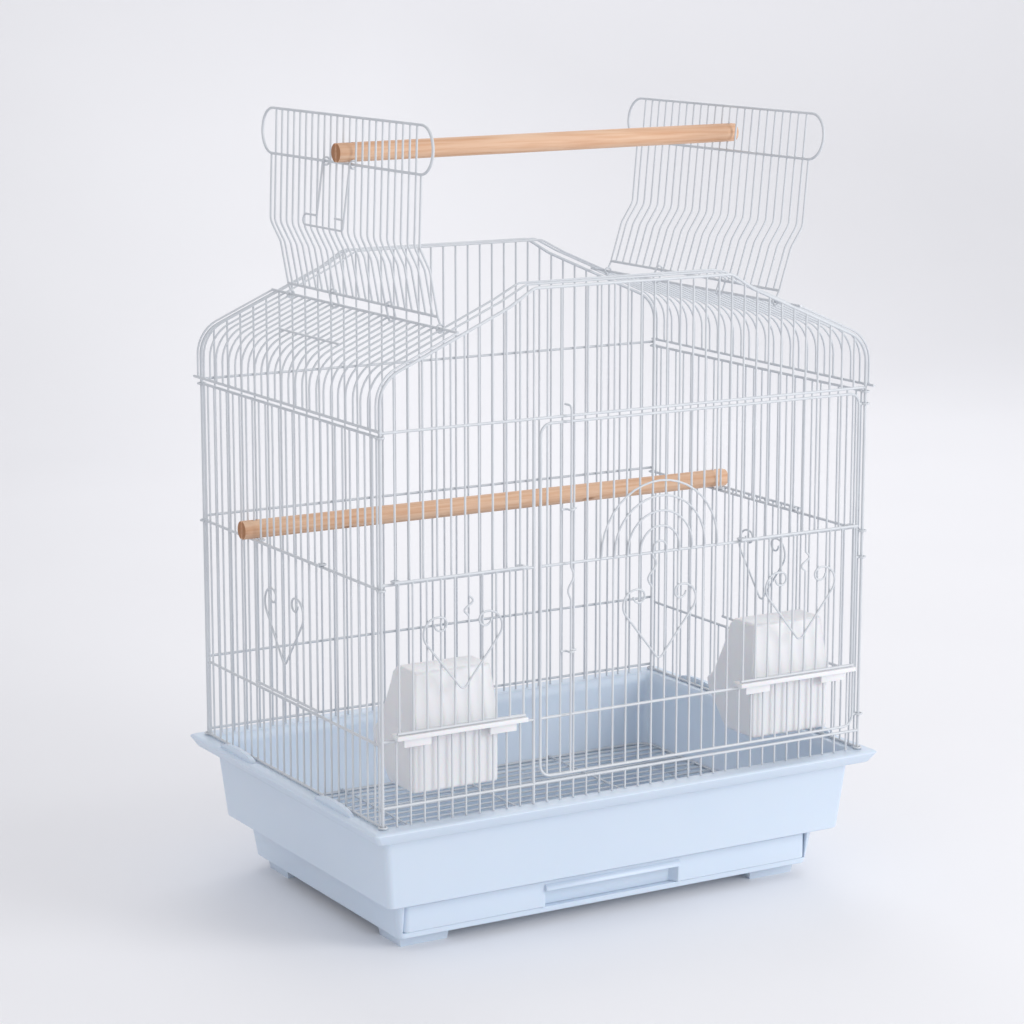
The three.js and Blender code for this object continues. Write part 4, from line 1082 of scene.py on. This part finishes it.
class CAGE_OT_perches(bpy.types.Operator):
    """Build the two wooden perches with their slotted ends"""

    bl_idname = "cage.perches"
    bl_label = "Perches"

    def execute(self, context):
        ends = []
        rests = ((-1, LEFT_TILT, 1, 12.4, 0), (1, RIGHT_TILT, -1, 6.8, 6))
        for side, tilt, pitches, reach, lift in rests:
            rest = flap_place(side, tilt) @ at(FLAP_FACE, 0, FLAP_LOWER)
            rest += at(side * reach, 0, 9.64 + lift)
            rest.y = side * (FLAP_SHIFT + pitches * FLAP_PITCH)
            ends.append(rest)
        along = ends[1] - ends[0]
        turn = at(1, 0, 0).rotation_difference(along).to_matrix().to_4x4()
        top = Matrix.Translation((ends[0] + ends[1]) / 2) @ turn
        rest = MID - SIDE_DROP + RAIL_HALF + CLEARANCE + PERCH_RADIUS
        low = Matrix.Translation((0, 5 * PITCH, rest))
        self.rod("top_perch", "flap_perch", along.length / 2, (15.5, 10), top)
        self.rod("lower_perch", "cage", 247, (14.5, 14.5), low)
        return {"FINISHED"}

    def rod(self, node, body, half, slots, place):
        """A rod with a slot of the given length in each end."""
        radius, kerf, past = PERCH_RADIUS * MM, 1.5, 12
        shell = bmesh.new()
        bmesh.ops.create_cone(
            shell, cap_ends=True, segments=40, radius1=radius, radius2=radius, depth=2 * half * MM
        )
        bmesh.ops.rotate(shell, verts=shell.verts, matrix=Matrix.Rotation(math.pi / 2, 3, "Y"))
        rod = as_object(shell, node)
        carve(rod, [
            box((-half - past, -kerf, -past), (slots[0] - half, kerf, past)),
            box((half - slots[1], -kerf, -past), (half + past, kerf, past)),
        ], "DIFFERENCE")
        soften(rod, 0.6, 2)
        ends = [float(abs(polygon.normal.x) > 0.7) for polygon in rod.data.polygons]
        rod.data.attributes.new("end_grain", "FLOAT", "FACE").data.foreach_set("value", ends)
        rod.data.transform(in_metres(place))
        plastic_piece(rod, node + "_rod", body, dowel_wood(), node)


class CAGE_OT_stage(bpy.types.Operator):
    """Set the pale floor, the studio light and the camera"""

    bl_idname = "cage.stage"
    bl_label = "Stage"

    def execute(self, context):
        self.floor()
        for lamp in LAMPS:
            self.lamp(*lamp)
        world = bpy.data.worlds.new("studio air")
        bpy.context.scene.world = world
        world.use_nodes = True
        air = world.node_tree.nodes["Background"].inputs
        air["Color"].default_value = linear("FAFAFC")
        air["Strength"].default_value = 0.78
        self.camera()
        bpy.context.scene.view_settings.view_transform = "Standard"
        return {"FINISHED"}

    def floor(self):
        """A sweep of pale paper under and behind the cage."""
        shell = bmesh.new()
        half, back = PAPER_HALF, PAPER_BACK
        section = rounded([
            (at(-half, -half, 0), 0),
            (at(-half, back, 0), PAPER_BEND),
            (at(-half, back, half), 0),
        ])
        rows = [[shell.verts.new(at(x, p.y, p.z)) for p in section] for x in (-half, half)]
        for i in range(len(section) - 1):
            shell.faces.new((rows[0][i], rows[1][i], rows[1][i + 1], rows[0][i + 1]))
        mesh = bpy.data.meshes.new("paper sweep")
        shell.to_mesh(mesh)
        shell.free()
        for polygon in mesh.polygons:
            polygon.use_smooth = True
        sweep = bpy.data.objects.new("paper_sweep", mesh)
        bpy.context.scene.collection.objects.link(sweep)
        material, tree, surface, place = new_material("pale background paper")
        # The paper's own tone drifts slowly, over about 300 mm
        drift = add(tree, "ShaderNodeTexNoise", {"Vector": place, "Scale": 3.0, "Detail": 1.0})
        tone = add(tree, "ShaderNodeMix", {
            "Factor": drift.outputs[0], 6: linear("F1F1F4"), 7: linear("F4F4F7"),
        }, data_type="RGBA")
        # Painted shade and light: the paper's colour is made a little greyer towards the left of
        # the set, a painted shade where the key lamp's light falls off, and paler up its back, a
        # painted light
        across = add(tree, "ShaderNodeVectorMath", {
            0: place, 1: (math.cos(YAW), -math.sin(YAW), 0.0),
        }, operation="DOT_PRODUCT")
        # Painted shade: the paper's colour darkens towards the left of the set
        side = add(tree, "ShaderNodeMapRange", {
            "Value": across.outputs["Value"],
            "From Min": -1.05, "From Max": -0.3, "To Min": 0.86, "To Max": 1.0,
        })
        height = add(tree, "ShaderNodeSeparateXYZ", {"Vector": place})
        # Painted light: the paper's colour brightens up its back
        rise = add(tree, "ShaderNodeMapRange", {
            "Value": height.outputs["Z"],
            "From Min": 0.1, "From Max": 1.0, "To Min": 1.0, "To Max": 1.09,
        })
        share = add(tree, "ShaderNodeMath", {
            0: side.outputs[0], 1: rise.outputs[0],
        }, operation="MULTIPLY")
        # The painted shade and light scale the paper's own tone
        paper_with_painted_light = add(tree, "ShaderNodeVectorMath", {
            0: tone.outputs[2], "Scale": share.outputs[0],
        }, operation="SCALE")
        tree.links.new(paper_with_painted_light.outputs["Vector"], surface["Base Color"])
        surface["Roughness"].default_value = 0.9
        surface["Specular IOR Level"].default_value = 0.2
        mesh.materials.append(material)

    def lamp(self, name, place, size, power):
        data = bpy.data.lights.new(name, "AREA")
        data.shape = "DISK"
        data.size = size
        data.energy = power
        lamp = bpy.data.objects.new(name, data)
        lamp.location = place
        aim = Vector((0, 0, 0.3)) - lamp.location
        lamp.rotation_euler = aim.to_track_quat("-Z", "Y").to_euler()
        bpy.context.scene.collection.objects.link(lamp)

    def camera(self):
        data = bpy.data.cameras.new("camera")
        data.lens = LENS
        data.sensor_width = 36
        data.clip_end = 50
        camera = bpy.data.objects.new("camera", data)
        camera.location = CAMERA_PLACE
        aim = Vector((
            math.sin(YAW) * math.cos(TIP),
            math.cos(YAW) * math.cos(TIP),
            math.sin(TIP),
        ))
        camera.rotation_euler = aim.to_track_quat("-Z", "Y").to_euler()
        bpy.context.scene.collection.objects.link(camera)
        bpy.context.scene.camera = camera


OPERATORS = (
    CAGE_OT_tray,
    CAGE_OT_drawer,
    CAGE_OT_grate,
    CAGE_OT_front_and_back,
    CAGE_OT_side_panels,
    CAGE_OT_roof,
    CAGE_OT_flaps,
    CAGE_OT_main_door,
    CAGE_OT_feeder_doors,
    CAGE_OT_feeders,
    CAGE_OT_perches,
    CAGE_OT_stage,
)


class CAGE_PT_panel(bpy.types.Panel):
    """Lists the cage's pieces and settings"""

    bl_idname = "CAGE_PT_panel"
    bl_label = "Parrot cage"
    bl_space_type = "VIEW_3D"
    bl_region_type = "UI"
    bl_category = "Cage"

    def draw(self, context):
        for name in CageSettings.__annotations__:
            self.layout.prop(context.scene.cage, name)
        for operator in OPERATORS:
            self.layout.operator(operator.bl_idname)


CLASSES = (CageSettings, *OPERATORS, CAGE_PT_panel)


def register():
    for cls in CLASSES:
        bpy.utils.register_class(cls)
    bpy.types.Scene.cage = bpy.props.PointerProperty(type=CageSettings)


def unregister():
    del bpy.types.Scene.cage
    for cls in reversed(CLASSES):
        bpy.utils.unregister_class(cls)


def main():
    register()
    bpy.ops.cage.tray()
    bpy.ops.cage.drawer()
    bpy.ops.cage.grate()
    bpy.ops.cage.front_and_back()
    bpy.ops.cage.side_panels()
    bpy.ops.cage.roof()
    bpy.ops.cage.flaps()
    bpy.ops.cage.main_door()
    bpy.ops.cage.feeder_doors()
    bpy.ops.cage.feeders()
    bpy.ops.cage.perches()
    bpy.ops.cage.stage()
    bpy.context.view_layer.update()


if __name__ == "__main__":
    main()
